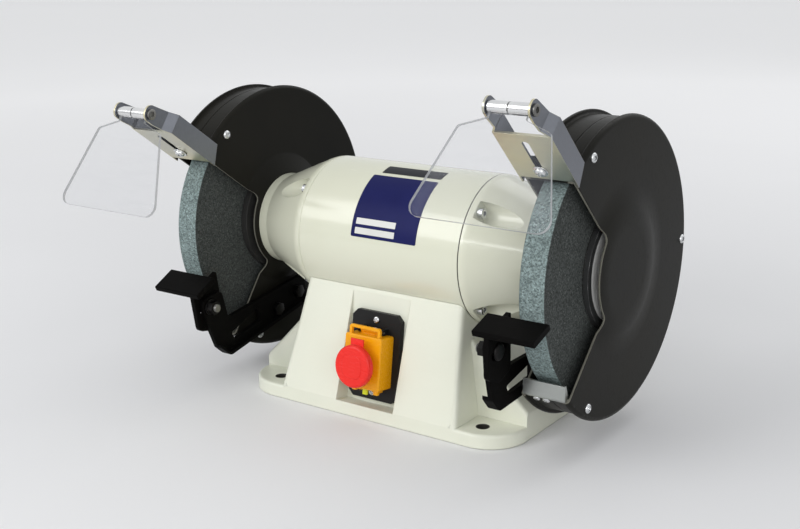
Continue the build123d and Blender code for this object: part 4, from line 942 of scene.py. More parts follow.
def linked(name: str, mesh: bpy.types.Mesh) -> bpy.types.Object:
    """Put a mesh into the scene.

    Args:
        name: Name of the object.
        mesh: Its mesh.

    Returns:
        The new object.
    """
    item = bpy.data.objects.new(name, mesh)
    bpy.context.scene.collection.objects.link(item)
    return item


def object_of(shape: bmesh.types.BMesh, name: str) -> bpy.types.Object:
    """Make a working mesh an object in the scene.

    Args:
        shape: The working mesh; it is used up.
        name: Name of the object.

    Returns:
        The new object.
    """
    mesh = bpy.data.meshes.new(name)
    shape.to_mesh(mesh)
    shape.free()
    return linked(name, mesh)


def sealed(shape: bmesh.types.BMesh, name: str) -> bpy.types.Object:
    """Close a working mesh's seams, turn its faces outward and make it an object.

    Args:
        shape: The working mesh; it is used up.
        name: Name of the object.

    Returns:
        The new object.
    """
    bmesh.ops.remove_doubles(shape, verts=shape.verts, dist=MERGE_DISTANCE)
    bmesh.ops.recalc_face_normals(shape, faces=shape.faces)
    return object_of(shape, name)


class Turner:
    """Collects turned and prismatic shapes in one mesh; sizes in millimetres."""

    def __init__(self) -> None:
        """Start with an empty mesh."""
        self.mesh = bmesh.new()

    def turn(self, profile: Profile, sides: int = 32, squareness: float = 0.0) -> "Turner":
        """Add a shape turned about Z.

        Args:
            profile: Points (radius, height) from the foot to the top; radius nought closes an end.
            sides: Number of sides; six gives a hexagon.
            squareness: Nought for a round shape, one for a nearly square one with round corners.

        Returns:
            The turner itself.
        """
        angles = [2 * pi * step / sides for step in range(sides)]
        power = 2 + 4 * squareness
        swell = [(abs(cos(a)) ** power + abs(sin(a)) ** power) ** (-1 / power) for a in angles]
        rings = []
        for radius, height in profile:
            if radius <= 0:
                rings.append([self.mesh.verts.new((0, 0, height))])
                continue
            ring = [(radius * out * cos(a), radius * out * sin(a), height) for a, out in zip(angles, swell)]
            rings.append([self.mesh.verts.new(point) for point in ring])
        for low, high in zip(rings, rings[1:]):
            for step in range(sides):
                after = (step + 1) % sides
                if len(low) == 1:
                    self.mesh.faces.new((low[0], high[after], high[step]))
                elif len(high) == 1:
                    self.mesh.faces.new((low[step], low[after], high[0]))
                else:
                    self.mesh.faces.new((low[step], low[after], high[after], high[step]))
        return self

    def ring(
        self, outer: float, inner: float, low: float, high: float, sides: int = 32, ease: float = 0.3
    ) -> "Turner":
        """Add a ring with eased outer edges, such as a washer or a nut.

        Args:
            outer: Outer radius.
            inner: Bore radius.
            low: Height of the lower face.
            high: Height of the upper face.
            sides: Number of sides.
            ease: Size of the eased edges.

        Returns:
            The turner itself.
        """
        sloped = [(inner, low), (outer - ease, low), (outer, low + 0.6 * ease), (outer, high - 0.6 * ease)]
        return self.turn(sloped + [(outer - ease, high), (inner, high), (inner, low)], sides)

    def bar(self, width: float, depth: float, low: float, high: float, across: float = 0.0) -> "Turner":
        """Add a square bar standing on its foot.

        Args:
            width: Size along X.
            depth: Size along Y.
            low: Height of the foot.
            high: Height of the top.
            across: Middle of the bar along X.

        Returns:
            The turner itself.
        """
        made = bmesh.ops.create_cube(self.mesh, size=1.0)["verts"]
        bmesh.ops.scale(self.mesh, vec=(width, depth, high - low), verts=made)
        bmesh.ops.translate(self.mesh, vec=(across, 0, (low + high) / 2), verts=made)
        return self

    def spread(self, count: int) -> "Turner":
        """Repeat all that is there evenly round Z.

        Args:
            count: How many there are in all.

        Returns:
            The turner itself.
        """
        first = self.mesh.verts[:] + self.mesh.edges[:] + self.mesh.faces[:]
        for step in range(1, count):
            made = bmesh.ops.duplicate(self.mesh, geom=first)["geom"]
            corners = [item for item in made if isinstance(item, bmesh.types.BMVert)]
            turn = Matrix.Rotation(2 * pi * step / count, 3, "Z")
            bmesh.ops.rotate(self.mesh, cent=(0, 0, 0), matrix=turn, verts=corners)
        return self

    def done(self, name: str) -> bpy.types.Object:
        """Close the mesh.

        Args:
            name: Name of the new object.

        Returns:
            The object, in metres, linked to the scene.
        """
        bmesh.ops.scale(self.mesh, vec=(MM, MM, MM), verts=self.mesh.verts)
        return sealed(self.mesh, name)


def baked(item: bpy.types.Object) -> bpy.types.Object:
    """Turn an object with modifiers into a plain mesh.

    Args:
        item: Object whose modifiers are used up; it is removed.

    Returns:
        The new object of the same name, at the origin.
    """
    name = item.name
    graph = bpy.context.evaluated_depsgraph_get()
    mesh = bpy.data.meshes.new_from_object(item.evaluated_get(graph))
    mesh.name = name
    bpy.data.objects.remove(item)
    return linked(name, mesh)


def carved(item: bpy.types.Object, cutter: bpy.types.Object) -> bpy.types.Object:
    """Cut one object out of another; both are used up.

    Args:
        item: Object that is cut.
        cutter: Object that is cut out of it.

    Returns:
        The cut object.
    """
    change = item.modifiers.new("cut", "BOOLEAN")
    change.operation = "DIFFERENCE"
    change.object = cutter
    change.solver = "EXACT"
    plain = baked(item)
    bpy.data.objects.remove(cutter)
    return plain


def eased(item: bpy.types.Object, width: float) -> bpy.types.Object:
    """Round an object's edges.

    Args:
        item: The object; it is used up.
        width: Width of the rounding, in millimetres.

    Returns:
        The rounded object.
    """
    change = item.modifiers.new("ease", "BEVEL")
    change.width = width * MM
    change.segments = EASE_SEGMENTS
    return smoothed(baked(item))


def smoothed(item: bpy.types.Object, angle: float = 35.0) -> bpy.types.Object:
    """Shade an object smooth, with its sharp edges kept.

    Args:
        item: The object.
        angle: Angle from which an edge is sharp, in degrees.

    Returns:
        The object itself.
    """
    item.data.shade_smooth()
    item.data.set_sharp_from_angle(angle=radians(angle))
    return item


ROUND_SIDES = 40
SHANK_SIDES = 24
HEXAGON_SIDES = 6
PAN_DOME = ((1, 0), (1, 0.28), (0.95, 0.52), (0.84, 0.74), (0.66, 0.90), (0.42, 0.98), (0, 1))
CROSS_SLOT = (0.26, 1.25)
SOCKET_SHARE = 0.56
RECESS_FLOOR = 0.35
HEAD_EASE = 0.1
SHANK_EASE = 0.25
BORE_PLAY = 0.05
HEAD_OVERLAP = 0.02


@dataclass(frozen=True)
class ScrewSize:
    """A screw or bolt: head, recess, shank, and a washer and nut where it has them. Millimetres."""

    head_radius: float
    head_height: float
    shank_radius: float
    shank_length: float
    shape: Head = Head.PAN
    recess: Recess = Recess.CROSS
    washer_radius: float = 0.0
    washer_thickness: float = 0.0
    nut_seat: float = 0.0
    nut_radius: float = 0.0
    nut_height: float = 0.0
    nut_washer_radius: float = 0.0
    nut_washer_thickness: float = 0.0

    def head(self) -> bpy.types.Object:
        """Make the head with its recess.

        Returns:
            The head, above the seat at height nought.
        """
        foot, wide = self.washer_thickness, self.head_radius
        top = foot + self.head_height
        if self.shape is Head.PAN:
            profile = [(0, foot)] + [(wide * out, foot + self.head_height * up) for out, up in PAN_DOME]
        else:
            ease = HEAD_EASE * wide
            profile = [(0, foot), (wide - ease, foot), (wide, foot + 0.4 * ease)]
            profile += [(wide, top - 0.6 * ease), (wide - ease, top), (0, top)]
        sides = HEXAGON_SIDES if self.shape is Head.HEXAGON else ROUND_SIDES
        item = Turner().turn(profile, sides).done("head")
        floor = foot + RECESS_FLOOR * self.head_height
        if self.recess is Recess.CROSS:
            narrow, long = (share * wide for share in CROSS_SLOT)
            for across, along in ((narrow, long), (long, narrow)):
                item = carved(item, Turner().bar(across, along, floor, 2 * top).done("cutter"))
        elif self.recess is Recess.SOCKET:
            flat = SOCKET_SHARE * wide
            socket = [(0, floor), (flat, floor), (flat, 2 * top), (0, 2 * top)]
            item = carved(item, Turner().turn(socket, HEXAGON_SIDES).done("cutter"))
        return item

    def rest(self) -> bpy.types.Object:
        """Make the washers, the shank and the nut.

        Returns:
            All that is below the head.
        """
        turner = Turner()
        tip, shank = -self.shank_length, self.shank_radius
        bore, ease = shank + BORE_PLAY, SHANK_EASE * shank
        top = self.washer_thickness + HEAD_OVERLAP
        profile = [(0, tip), (shank - ease, tip), (shank, tip + ease), (shank, top), (0, top)]
        turner.turn(profile, SHANK_SIDES)
        if self.washer_thickness:
            turner.ring(self.washer_radius, bore, 0.0, self.washer_thickness)
        if self.nut_height:
            seat = -self.nut_seat
            if self.nut_washer_thickness:
                turner.ring(self.nut_washer_radius, bore, seat - self.nut_washer_thickness, seat)
                seat -= self.nut_washer_thickness
            ease = HEAD_EASE * self.nut_radius
            turner.ring(self.nut_radius, bore, seat - self.nut_height, seat, HEXAGON_SIDES, ease)
        return turner.done("shank")

    def build(self) -> bpy.types.Object:
        """Make the whole fastener.

        Returns:
            The fastener along Z, its seat at the origin.
        """
        both = bmesh.new()
        for item in (self.head(), self.rest()):
            both.from_mesh(item.data)
            bpy.data.objects.remove(item)
        return smoothed(object_of(both, "fastener"))


class Rows:
    """Geometry Nodes tree that sets one shape at many places, each facing its own way."""

    def __init__(self) -> None:
        """Build the tree once."""
        self.tree = bpy.data.node_groups.new("Rows of fittings", "GeometryNodeTree")
        face = self.tree.interface
        face.new_socket("Geometry", in_out="INPUT", socket_type="NodeSocketGeometry")
        face.new_socket("Fitting", in_out="INPUT", socket_type="NodeSocketObject")
        face.new_socket("Size", in_out="INPUT", socket_type="NodeSocketFloat").default_value = 1.0
        face.new_socket("Turn", in_out="INPUT", socket_type="NodeSocketFloat").default_value = 0.0
        face.new_socket("Seed", in_out="INPUT", socket_type="NodeSocketInt").default_value = 3
        face.new_socket("Finish", in_out="INPUT", socket_type="NodeSocketMaterial")
        face.new_socket("Geometry", in_out="OUTPUT", socket_type="NodeSocketGeometry")
        draft = Draft(self.tree)
        start = draft.add("NodeGroupInput").outputs
        shape = draft.add("GeometryNodeObjectInfo", {"Object": start["Fitting"]})
        facing = draft.add("GeometryNodeInputNamedAttribute", {"Name": "facing"}, data_type="FLOAT_VECTOR")
        ways = {"Vector": facing.outputs["Attribute"]}
        aim = draft.add("FunctionNodeAlignRotationToVector", ways, axis="Z")
        chance = draft.add("FunctionNodeRandomValue", data_type="FLOAT")
        self._join(draft, start["Turn"], chance, "Max", "VALUE")
        self._join(draft, start["Seed"], chance, "Seed", "INT")
        share = next(socket for socket in chance.outputs if socket.type == "VALUE")
        spin = draft.add("FunctionNodeAxisAngleToRotation", {"Axis": (0.0, 0.0, 1.0), "Angle": share})
        turns = {"Rotation": aim.outputs[0], "Rotate By": spin.outputs[0]}
        both = draft.add("FunctionNodeRotateRotation", turns, rotation_space="LOCAL")
        size = draft.add("ShaderNodeCombineXYZ", {axis: start["Size"] for axis in ("X", "Y", "Z")})
        parts = {"Points": start["Geometry"], "Instance": shape.outputs["Geometry"]}
        parts |= {"Rotation": both.outputs[0], "Scale": size.outputs[0]}
        placed = draft.add("GeometryNodeInstanceOnPoints", parts)
        real = draft.add("GeometryNodeRealizeInstances", {"Geometry": placed.outputs[0]})
        coat = {"Geometry": real.outputs[0], "Material": start["Finish"]}
        dressed = draft.add("GeometryNodeSetMaterial", coat)
        draft.add("NodeGroupOutput", {"Geometry": dressed.outputs[0]})

    @staticmethod
    def _join(draft: Draft, source: Socket, node: bpy.types.Node, name: str, kind: str) -> None:
        """Link to the input of that name and type; a node can have several of one name."""
        target = next(socket for socket in node.inputs if socket.name == name and socket.type == kind)
        draft.tree.links.new(source, target)

    def place(
        self,
        name: str,
        fitting: bpy.types.Object,
        places: Iterable[Seat],
        material: bpy.types.Material,
        turn: float = 2 * pi,
        seed: int = 3,
    ) -> bpy.types.Object:
        """Set a fitting at places.

        Args:
            name: Name of the piece.
            fitting: Shape along Z at the origin; it is used up.
            places: Pairs of a place and the way it faces, in metres.
            material: Finish of the piece.
            turn: Most that each may be turned about its own axis, in radians.
            seed: Seed of those turns.

        Returns:
            The piece as a plain mesh.
        """
        spots = list(places)
        mesh = bpy.data.meshes.new(name)
        mesh.from_pydata([tuple(spot) for spot, _ in spots], [], [])
        facing = mesh.attributes.new("facing", "FLOAT_VECTOR", "POINT")
        for item, (_, way) in zip(facing.data, spots):
            item.vector = way
        host = linked(name, mesh)
        change = host.modifiers.new("rows", "NODES")
        change.node_group = self.tree
        sockets = self.tree.interface.items_tree
        keys = {item.name: item.identifier for item in sockets if item.in_out == "INPUT"}
        given = {"Fitting": fitting, "Size": 1.0, "Turn": turn, "Seed": seed, "Finish": material}
        for key, value in given.items():
            change[keys[key]] = value
        piece = baked(host)
        bpy.data.objects.remove(fitting)
        LOG.info("placed %d of %s", len(spots), name)
        return piece


@dataclass(frozen=True)
class CurvedPlate:
    """Thin plate with rounded corners bent round the motor. Millimetres and degrees."""

    name: str
    left: float
    right: float
    low_angle: float
    high_angle: float
    radius: float = 74.3
    thickness: float = 0.35
    corner: float = 1.5
    gap: float = 0.02
    corner_steps: int = 5
    arc_steps: int = 24
    sharp_angle: float = 40.0

    def build(self) -> bpy.types.Object:
        """Bend the plate round the housing.

        Returns:
            The plate as a closed shell, in place.
        """
        arc = radians(self.high_angle - self.low_angle) * self.radius
        quarter = [pi / 2 * turn / self.corner_steps for turn in range(self.corner_steps + 1)]
        steps = [self.corner * (1 - cos(angle)) for angle in quarter]
        inner = arc - 2 * self.corner
        middle = [self.corner + inner * step / self.arc_steps for step in range(1, self.arc_steps)]
        rows = steps + middle + [arc - step for step in reversed(steps)]
        shell = bmesh.new()
        layers = []
        for lift in (self.gap, self.thickness):
            layer = []
            for along in rows:
                inset = self._inset(along, arc)
                angle = degrees(along / self.radius) + self.low_angle
                back, up = polar(self.radius + lift, angle)
                sides = (self.left + inset, self.right - inset)
                pair = [Vector((across, back, SHAFT_HEIGHT + up)) * MM for across in sides]
                layer.append([shell.verts.new(point) for point in pair])
            layers.append(layer)
        under, over = layers
        for first, second in zip(range(len(rows)), range(1, len(rows))):
            shell.faces.new((over[first][0], over[first][1], over[second][1], over[second][0]))
            shell.faces.new((under[first][1], under[first][0], under[second][0], under[second][1]))
            for side in (0, 1):
                low, high = [layer[side] for layer in under], [layer[side] for layer in over]
                shell.faces.new((low[first], high[first], high[second], low[second]))
        for row in (0, -1):
            shell.faces.new((under[row][0], under[row][1], over[row][1], over[row][0]))
        return smoothed(sealed(shell, self.name), self.sharp_angle)

    def _inset(self, along: float, arc: float) -> float:
        """How far the rounded corner takes the plate's side in, at a distance along the arc."""
        depth = max(0.0, self.corner - min(along, arc - along))
        return self.corner - max(0.0, self.corner**2 - depth**2) ** 0.5


@dataclass
class Fitter:
    """What every sub-assembly needs: the CAD nodes, the finishes and the rows tree."""

    nodes: dict[str, bpy.types.Object]
    shop: Workshop
    rows: Rows

    def dress(self, finish: Finish, *names: str) -> None:
        """Give CAD nodes a finish."""
        self.shop.dress(self.nodes, finish, *names)

    def settle(self, piece: bpy.types.Object, finish: Finish, body: str, slot: str, *replaced: str) -> None:
        """Finish a new piece.

        Args:
            piece: The piece, in place.
            finish: Its finish.
            body: CAD body it moves with.
            slot: Not used.
            *replaced: CAD nodes it stands for.
        """
        piece.data.materials.clear()
        piece.data.materials.append(self.shop.material(finish))
        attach(piece, body)
        if replaced:
            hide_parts(*replaced)
        LOG.info("piece %s rides on %s", piece.name, body)

    def single(
        self,
        name: str,
        shape: bpy.types.Object,
        seats: list[Seat],
        finish: Finish,
        body: str,
        slot: str,
        *replaced: str,
    ) -> None:
        """Set a shape at its seats without turning it, and finish it.

        Args:
            name: Name of the piece.
            shape: Shape along Z at the origin.
            seats: Places and the ways it faces.
            finish: Finish of the piece.
            body: CAD body it moves with.
            slot: Passed on to settle, which does not use it.
            *replaced: CAD nodes it stands for.
        """
        piece = self.rows.place(name, smoothed(shape), seats, self.shop.material(finish), turn=0.0)
        self.settle(piece, finish, body, slot, *replaced)

    def fasteners(
        self, name: str, size: ScrewSize, seats: list[Seat], finish: Finish, body: str, *replaced: str
    ) -> None:
        """Set a row of fasteners and finish it.

        Args:
            name: Name of the piece.
            size: Size of one fastener.
            seats: Seats and the ways their heads face.
            finish: Finish of them all.
            body: CAD body they move with.
            *replaced: CAD nodes they stand for.
        """
        piece = self.rows.place(name, size.build(), seats, self.shop.material(finish))
        self.settle(piece, finish, body, "zinc", *replaced)


@dataclass
class Motor:
    """Housing, end bells and what they hold."""

    fitter: Fitter
    bell_seat: float = 102.6
    bell_screw_circle: float = 66.5
    bell_angles: tuple[int, ...] = (45, 135, 225, 315)
    bell_screw: ScrewSize = ScrewSize(5.0, 6.0, 3.0, 20.9, Head.CHEESE, Recess.SOCKET)
    plate: CurvedPlate = CurvedPlate("motor_plate", -29.5, 47.5, 115.3, 169.5)
    strip: CurvedPlate = CurvedPlate("motor_strip", -23.0, 47.0, 100.5, 111.5, corner=0.8)
    upper_field: CurvedPlate = CurvedPlate("plate_upper_field", -25.0, 22.0, 155.0, 159.8, 74.65, 0.12, 0.4)
    lower_field: CurvedPlate = CurvedPlate("plate_lower_field", -25.0, 22.0, 162.3, 167.1, 74.65, 0.12, 0.4)

    def build(self) -> None:
        """Dress the motor and add its screws, bare plates and blank fields."""
        fitter = self.fitter
        fitter.dress(CREAM, "motor_housing", "left_end_bell", "right_end_bell")
        fitter.dress(LAMINATED, "stator_core", "rotor_core")
        fitter.dress(COPPER, "stator_windings")
        fitter.dress(TURNED, "left_bearing", "right_bearing", "spindle_shaft")
        fitter.dress(ZINC, "motor_bolts", "guard_mount_screws")
        seats = [
            (shaft_spot(end, self.bell_seat, self.bell_screw_circle, angle, clocked=False), end.way)
            for end in End
            for angle in self.bell_angles
        ]
        fitter.fasteners("bell_screws", self.bell_screw, seats, ZINC, ROOT, "end_bell_screws")
        fitter.settle(self.plate.build(), PLATE_NAVY, ROOT, "switch_black")
        fitter.settle(self.strip.build(), PLATE_DARK, ROOT, "switch_black")
        for field_plate in (self.upper_field, self.lower_field):
            fitter.settle(field_plate.build(), PLATE_PALE, ROOT, "zinc")


@dataclass
class WheelEnd:
    """One wheel with its flanges, guard, shield, deflector and rest."""

    fitter: Fitter
    end: End
    nut_ease: float = 1.5
    hinge_reach: float = 233.7
    hinge_rise: float = 2.5
    hinge_inner: float = 182.35
    hinge_outer: float = 225.95
    nut_seat: float = 221.3
    nut_radius: float = 17.0
    nut_bore: float = 10.05
    nut_height: float = 7.5
    hinge_bolt: ScrewSize = ScrewSize(5.2, 2.4, 3.0, 44.4, Head.CHEESE, Recess.SOCKET)

    def build(self) -> None:
        """Dress this end and add its hinge bolt and arbor nut."""
        fitter, word = self.fitter, self.end.prefix
        looks = {
            GRIT: ("wheel",),
            FLANGE_DARK: ("inner_flange",),
            FLANGE: ("outer_flange",),
            BRIGHT: ("hinge_tube",),
            CHARCOAL: ("guard_dish", "guard_cover"),
            GALVANISED: ("shield_bracket",),
            BRIGHT_SHEET: ("deflector",),
            CLEAR: ("shield",),
            REST_BLACK: ("rest_arm", "tool_rest"),
        }
        for finish, parts in looks.items():
            fitter.dress(finish, *(f"{word}_{part}" for part in parts))
        seat = [(self._hinge_seat(), End.RIGHT.way)]
        names = (f"{word}_bracket", f"{word}_shield_bolt")
        fitter.fasteners(f"{word}_hinge_bolt", self.hinge_bolt, seat, DULL_STEEL, *names)
        nut = Turner().ring(
            self.nut_radius, self.nut_bore, 0.0, self.nut_height, HEXAGON_SIDES, self.nut_ease
        )
        seat = [(shaft_spot(self.end, self.nut_seat, 0, 0), self.end.way)]
        names = ("spindle", "zinc", f"{word}_arbor_nut")
        fitter.single(f"{word}_spindle_nut", nut.done("nut"), seat, ZINC, *names)

    def _hinge_seat(self) -> Vector:
        """Seat of the hinge bolt's head, on the right side of the bracket."""
        across = -self.hinge_inner if self.end is End.LEFT else self.hinge_outer
        return bracket_seat(self.end, across, self.hinge_reach - self.end.slide, self.hinge_rise)[0]


@dataclass
class GuardFasteners:
    """Screws and bolts of both guards, brackets and rests."""

    fitter: Fitter
    cover_screw: ScrewSize = ScrewSize(4.6, 2.6, 2.0, 10.9)
    lip_screw: ScrewSize = ScrewSize(3.6, 1.8, 1.8, 3.5)
    clamp_screw: ScrewSize = ScrewSize(
        5.0, 3.2, 3.0, 9.4, washer_radius=7.0, washer_thickness=1.2, nut_seat=4.4, nut_radius=5.8,
        nut_height=5.0,
    )
    arm_bolt: ScrewSize = ScrewSize(
        7.4, 5.3, 4.0, 17.7, Head.HEXAGON, Recess.NONE, nut_seat=12.7, nut_radius=7.4, nut_height=5.0
    )
    rest_bolt: ScrewSize = ScrewSize(
        8.0, 2.6, 3.95, 18.0, recess=Recess.NONE, nut_seat=10.4, nut_radius=7.4, nut_height=6.5,
        nut_washer_radius=8.0, nut_washer_thickness=1.4,
    )
    guard_faces: tuple[tuple[float, int], ...] = ((180.2, -1), (228.1, 1))
    post_circle: float = 131.5
    post_angles: tuple[float, ...] = (120.0, 0.0, -120.0)
    rim_radius: float = 138.4
    mouth_bottom: float = -136.0
    lip_back: float = 8.0
    lip_reaches: tuple[float, ...] = (191.85, 201.85)
    stud_sink: float = 0.3
    thread_depth: float = 0.35
    tip_ease: float = 0.7
    clamp_reach: float = 155.0
    clamp_across: float = 203.0
    clamp_lift: float = -2.4
    arm_places: tuple[tuple[float, float], ...] = ((-8.0, -85.0), (-44.0, -91.0))
    arm_reach: float = 169.5
    rest_place: tuple[float, float] = (-140.0, -47.0)
    rest_head_reach: float = 179.9
    stud_reach: float = 161.7
    stud_length: float = 2.9
    stud_radius: float = 4.0
    stud_pitch: float = 0.8

    def build(self) -> None:
        """Set every fastener of the two guards."""
        fit = self.fitter.fasteners
        ends = list(End)
        covers = [
            (shaft_spot(end, reach, self.post_circle, angle), facing * end.way)
            for end in ends
            for reach, facing in self.guard_faces
            for angle in self.post_angles
        ]
        fit("cover_screws", self.cover_screw, covers, ZINC, ROOT, "guard_screws")
        lips = [seat for end in ends for seat in self._lip_seats(end)]
        fit("lip_screws", self.lip_screw, lips, ZINC, ROOT, "deflector_screws")
        clamps = [self._clamp_seat(end) for end in ends]
        fit("clamp_screws", self.clamp_screw, clamps, ZINC, ROOT, "bracket_clamp_screws")
        places = [(end, place) for end in ends for place in self.arm_places]
        arms = [(self._arm_spot(end, place, self.arm_reach), -end.way) for end, place in places]
        fit("arm_bolts", self.arm_bolt, arms, BLACKED, ROOT, "rest_arm_bolts")
        rests = [(self._arm_spot(end, self.rest_place, self.rest_head_reach), end.way) for end in ends]
        fit("rest_bolts", self.rest_bolt, rests, BLACKED, ROOT, "rest_clamp_bolts")
        studs = [(self._arm_spot(end, self.rest_place, self.stud_reach), -end.way) for end in ends]
        self.fitter.single("stud_ends", self._stud_end(), studs, DULL_STEEL, ROOT, "zinc")
        self.fitter.dress(ZINC, "guard_posts")
        self.fitter.dress(CARD, "wheel_blotters")

    def _lip_seats(self, end: End) -> list[Seat]:
        """Find the screws that hold the deflector to the rim.

        Args:
            end: End of the spindle.

        Returns:
            Seats of the two screws.
        """
        angle = self.mouth_bottom + degrees(self.lip_back / self.rim_radius)
        facing = Vector((0, *polar(1, angle + end.clock)))
        return [(shaft_spot(end, reach, self.rim_radius, angle), facing) for reach in self.lip_reaches]

    def _clamp_seat(self, end: End) -> Seat:
        """Seat of the screw that clamps the shield bracket to its lug."""
        spot, lift = bracket_seat(end, end.value * self.clamp_across, self.clamp_reach, self.clamp_lift)
        return spot, -lift

    def _stud_end(self) -> bpy.types.Object:
        """Turn the threaded end of the rest's stud, which stands out of its nut.

        Returns:
            The stud's end, along Z.
        """
        crest, tip = self.stud_radius, self.stud_length
        profile = [(0.0, -self.stud_sink), (crest, -self.stud_sink)]
        height = 0.0
        while height + self.stud_pitch < tip:
            profile += [(crest, height), (crest - self.thread_depth, height + self.stud_pitch / 2)]
            height += self.stud_pitch
        profile += [(crest, height), (crest - self.tip_ease, tip), (0.0, tip)]
        return Turner().turn(profile, SHANK_SIDES).done("stud_end")

    @staticmethod
    def _arm_spot(end: End, place: tuple[float, float], reach: float) -> Vector:
        """Place on the rest's arm, given as (back, up) from the shaft and a distance outward."""
        back, up = place
        return shaft_spot(end, reach, hypot(back, up), degrees(atan2(up, back)))


@dataclass
class SwitchBox:
    """Switch in the base: plate, lid, knob and buttons."""

    fitter: Fitter
    height: float = 60.0
    lean: float = 8.3
    floor: float = -72.6143
    screw_offset: float = 36.5
    plate_thickness: float = 6.0
    knob_face: float = 43.0
    knob_middle: float = -5.3
    pad_half_width: float = 11.6
    pad_sink: float = 0.3
    pad_edge: float = 0.1
    pad_rise: float = 0.5
    pad_sides: int = 48
    pad_squareness: float = 0.35
    tab_size: tuple[float, float, float] = (5.6, 3.0, 10.0)
    tab_ease: float = 0.7
    tab_place: tuple[float, float, float] = (1.5, -36.5, 19.5)
    hook_size: tuple[float, float, float] = (5.4, 4.6, 5.5)
    hook_ease: float = 1.1
    hook_places: tuple[tuple[float, float, float], ...] = ((-8.0, -32.4, 24.0), (16.5, -34.0, 22.0))
    screw: ScrewSize = ScrewSize(3.6, 2.0, 2.0, 17.9)

    def spot(self, across: float, up: float, out: float) -> Vector:
        """Place on the switch.

        Args:
            across: Distance to the right, in millimetres.
            up: Distance up along the plate, in millimetres.
            out: Distance out from the floor of the recess, in millimetres.

        Returns:
            The place in metres, in the shared frame.
        """
        tilt = radians(self.lean)
        back = self.floor + up * sin(tilt) - out * cos(tilt)
        return Vector((across, back, self.height + up * cos(tilt) + out * sin(tilt))) * MM

    def build(self) -> None:
        """Dress the switch and add its screws, the knob's pad, the lid's hooks and its tab."""
        fitter = self.fitter
        tilt = radians(self.lean)
        outward = Vector((0, -cos(tilt), sin(tilt)))
        upward = Vector((0, sin(tilt), cos(tilt)))
        fitter.dress(SWITCH_BLACK, "switch_plate", "switch_body")
        fitter.dress(LID_YELLOW, "switch_lid")
        fitter.dress(STOP_RED, "stop_knob", "stop_button")
        fitter.dress(START_GREEN, "start_button")
        fitter.dress(ZINC, "lid_hinge_pin")
        seats = [(self.spot(0, side * self.screw_offset, self.plate_thickness), outward) for side in (-1, 1)]
        fitter.fasteners("plate_screws", self.screw, seats, ZINC, ROOT, "switch_screws")
        face = [(self.spot(0, self.knob_middle, self.knob_face), outward)]
        fitter.single("knob_pad", self._pad(), face, STOP_RED, "knob", "switch_red")
        tab = self._block("tab", self.tab_size, self.tab_ease)
        tab_seat = [(self.spot(*self.tab_place), upward)]
        fitter.single("lid_tab", tab, tab_seat, TAB_LIME, "lid", "switch_yellow")
        hook = self._block("hook", self.hook_size, self.hook_ease)
        hooks = [(self.spot(*place), upward) for place in self.hook_places]
        fitter.single("lid_hooks", hook, hooks, LID_YELLOW, "lid", "switch_yellow")

    def _pad(self) -> bpy.types.Object:
        """Turn the raised pad of the knob's face.

        Returns:
            The pad, nearly square, along Z.
        """
        half, rise = self.pad_half_width, self.pad_rise
        profile = [(0, -self.pad_sink), (half, -self.pad_sink), (half, self.pad_edge)]
        profile += [(half - rise, rise), (0, rise)]
        return Turner().turn(profile, self.pad_sides, self.pad_squareness).done("pad")

    @staticmethod
    def _block(name: str, size: tuple[float, float, float], ease: float) -> bpy.types.Object:
        """Small block with rounded edges, standing on its foot."""
        width, depth, height = size
        return eased(Turner().bar(width, depth, 0.0, height).done(name), ease)


@dataclass
class Base:
    """Cast base with its bottom plate and cable gland."""

    fitter: Fitter
    bottom_screw: ScrewSize = ScrewSize(4.0, 2.4, 2.0, 10.9)
    bottom_x: float = 103.0
    bottom_y: tuple[float, float] = (-71.0, 83.0)
    bottom_seat: float = 3.0
    gland_place: tuple[float, float, float] = (-55.0, 88.357, 44.0)
    gland_lean: float = 17.82
    gland_ribs: int = 18
    gland_radius: float = 11.0
    rib_low: float = 7.0
    rib_high: float = 13.6
    rib_width: float = 1.4
    rib_depth: float = 1.3
    rib_sink: float = 0.1
    rib_ease: float = 0.35

    def build(self) -> None:
        """Dress the base, set the bottom plate's screws and the grip ribs of the gland."""
        fitter = self.fitter
        fitter.dress(IVORY, "base_casting")
        fitter.dress(GALVANISED, "bottom_plate")
        fitter.dress(SWITCH_BLACK, "cable_gland")
        down = Vector((0, 0, -1))
        corners = [(side * self.bottom_x, back) for side in (-1, 1) for back in self.bottom_y]
        seats = [(Vector((across, back, self.bottom_seat)) * MM, down) for across, back in corners]
        fitter.fasteners("base_screws", self.bottom_screw, seats, ZINC, ROOT, "bottom_plate_screws")
        middle = self.gland_radius - self.rib_sink
        rib = Turner().bar(self.rib_width, self.rib_depth, self.rib_low, self.rib_high, middle)
        ribs = eased(rib.spread(self.gland_ribs).done("ribs"), self.rib_ease)
        out = Vector((0, cos(radians(self.gland_lean)), sin(radians(self.gland_lean))))
        seat = [(Vector(self.gland_place) * MM, out)]
        fitter.single("gland_ribs", ribs, seat, SWITCH_BLACK, ROOT, "switch_black")


@dataclass(frozen=True)
class Lamp:
    """Soft oblong lamp that looks at the motor."""

    name: str
    place: tuple[float, float, float]
    width: float
    height: float
    power: float

    def build(self) -> None:
        """Hang the lamp."""
        data = bpy.data.lights.new(self.name, "AREA")
        data.energy = self.power
        data.shape = "RECTANGLE"
        data.size, data.size_y = self.width, self.height
        lamp = bpy.data.objects.new(self.name, data)
        lamp.location = self.place
        aim = Vector((0, 0, SHAFT_HEIGHT * MM)) - lamp.location
        lamp.rotation_euler = aim.to_track_quat("-Z", "Y").to_euler()
        bpy.context.scene.collection.objects.link(lamp)
        LOG.info("hung %s", self.name)


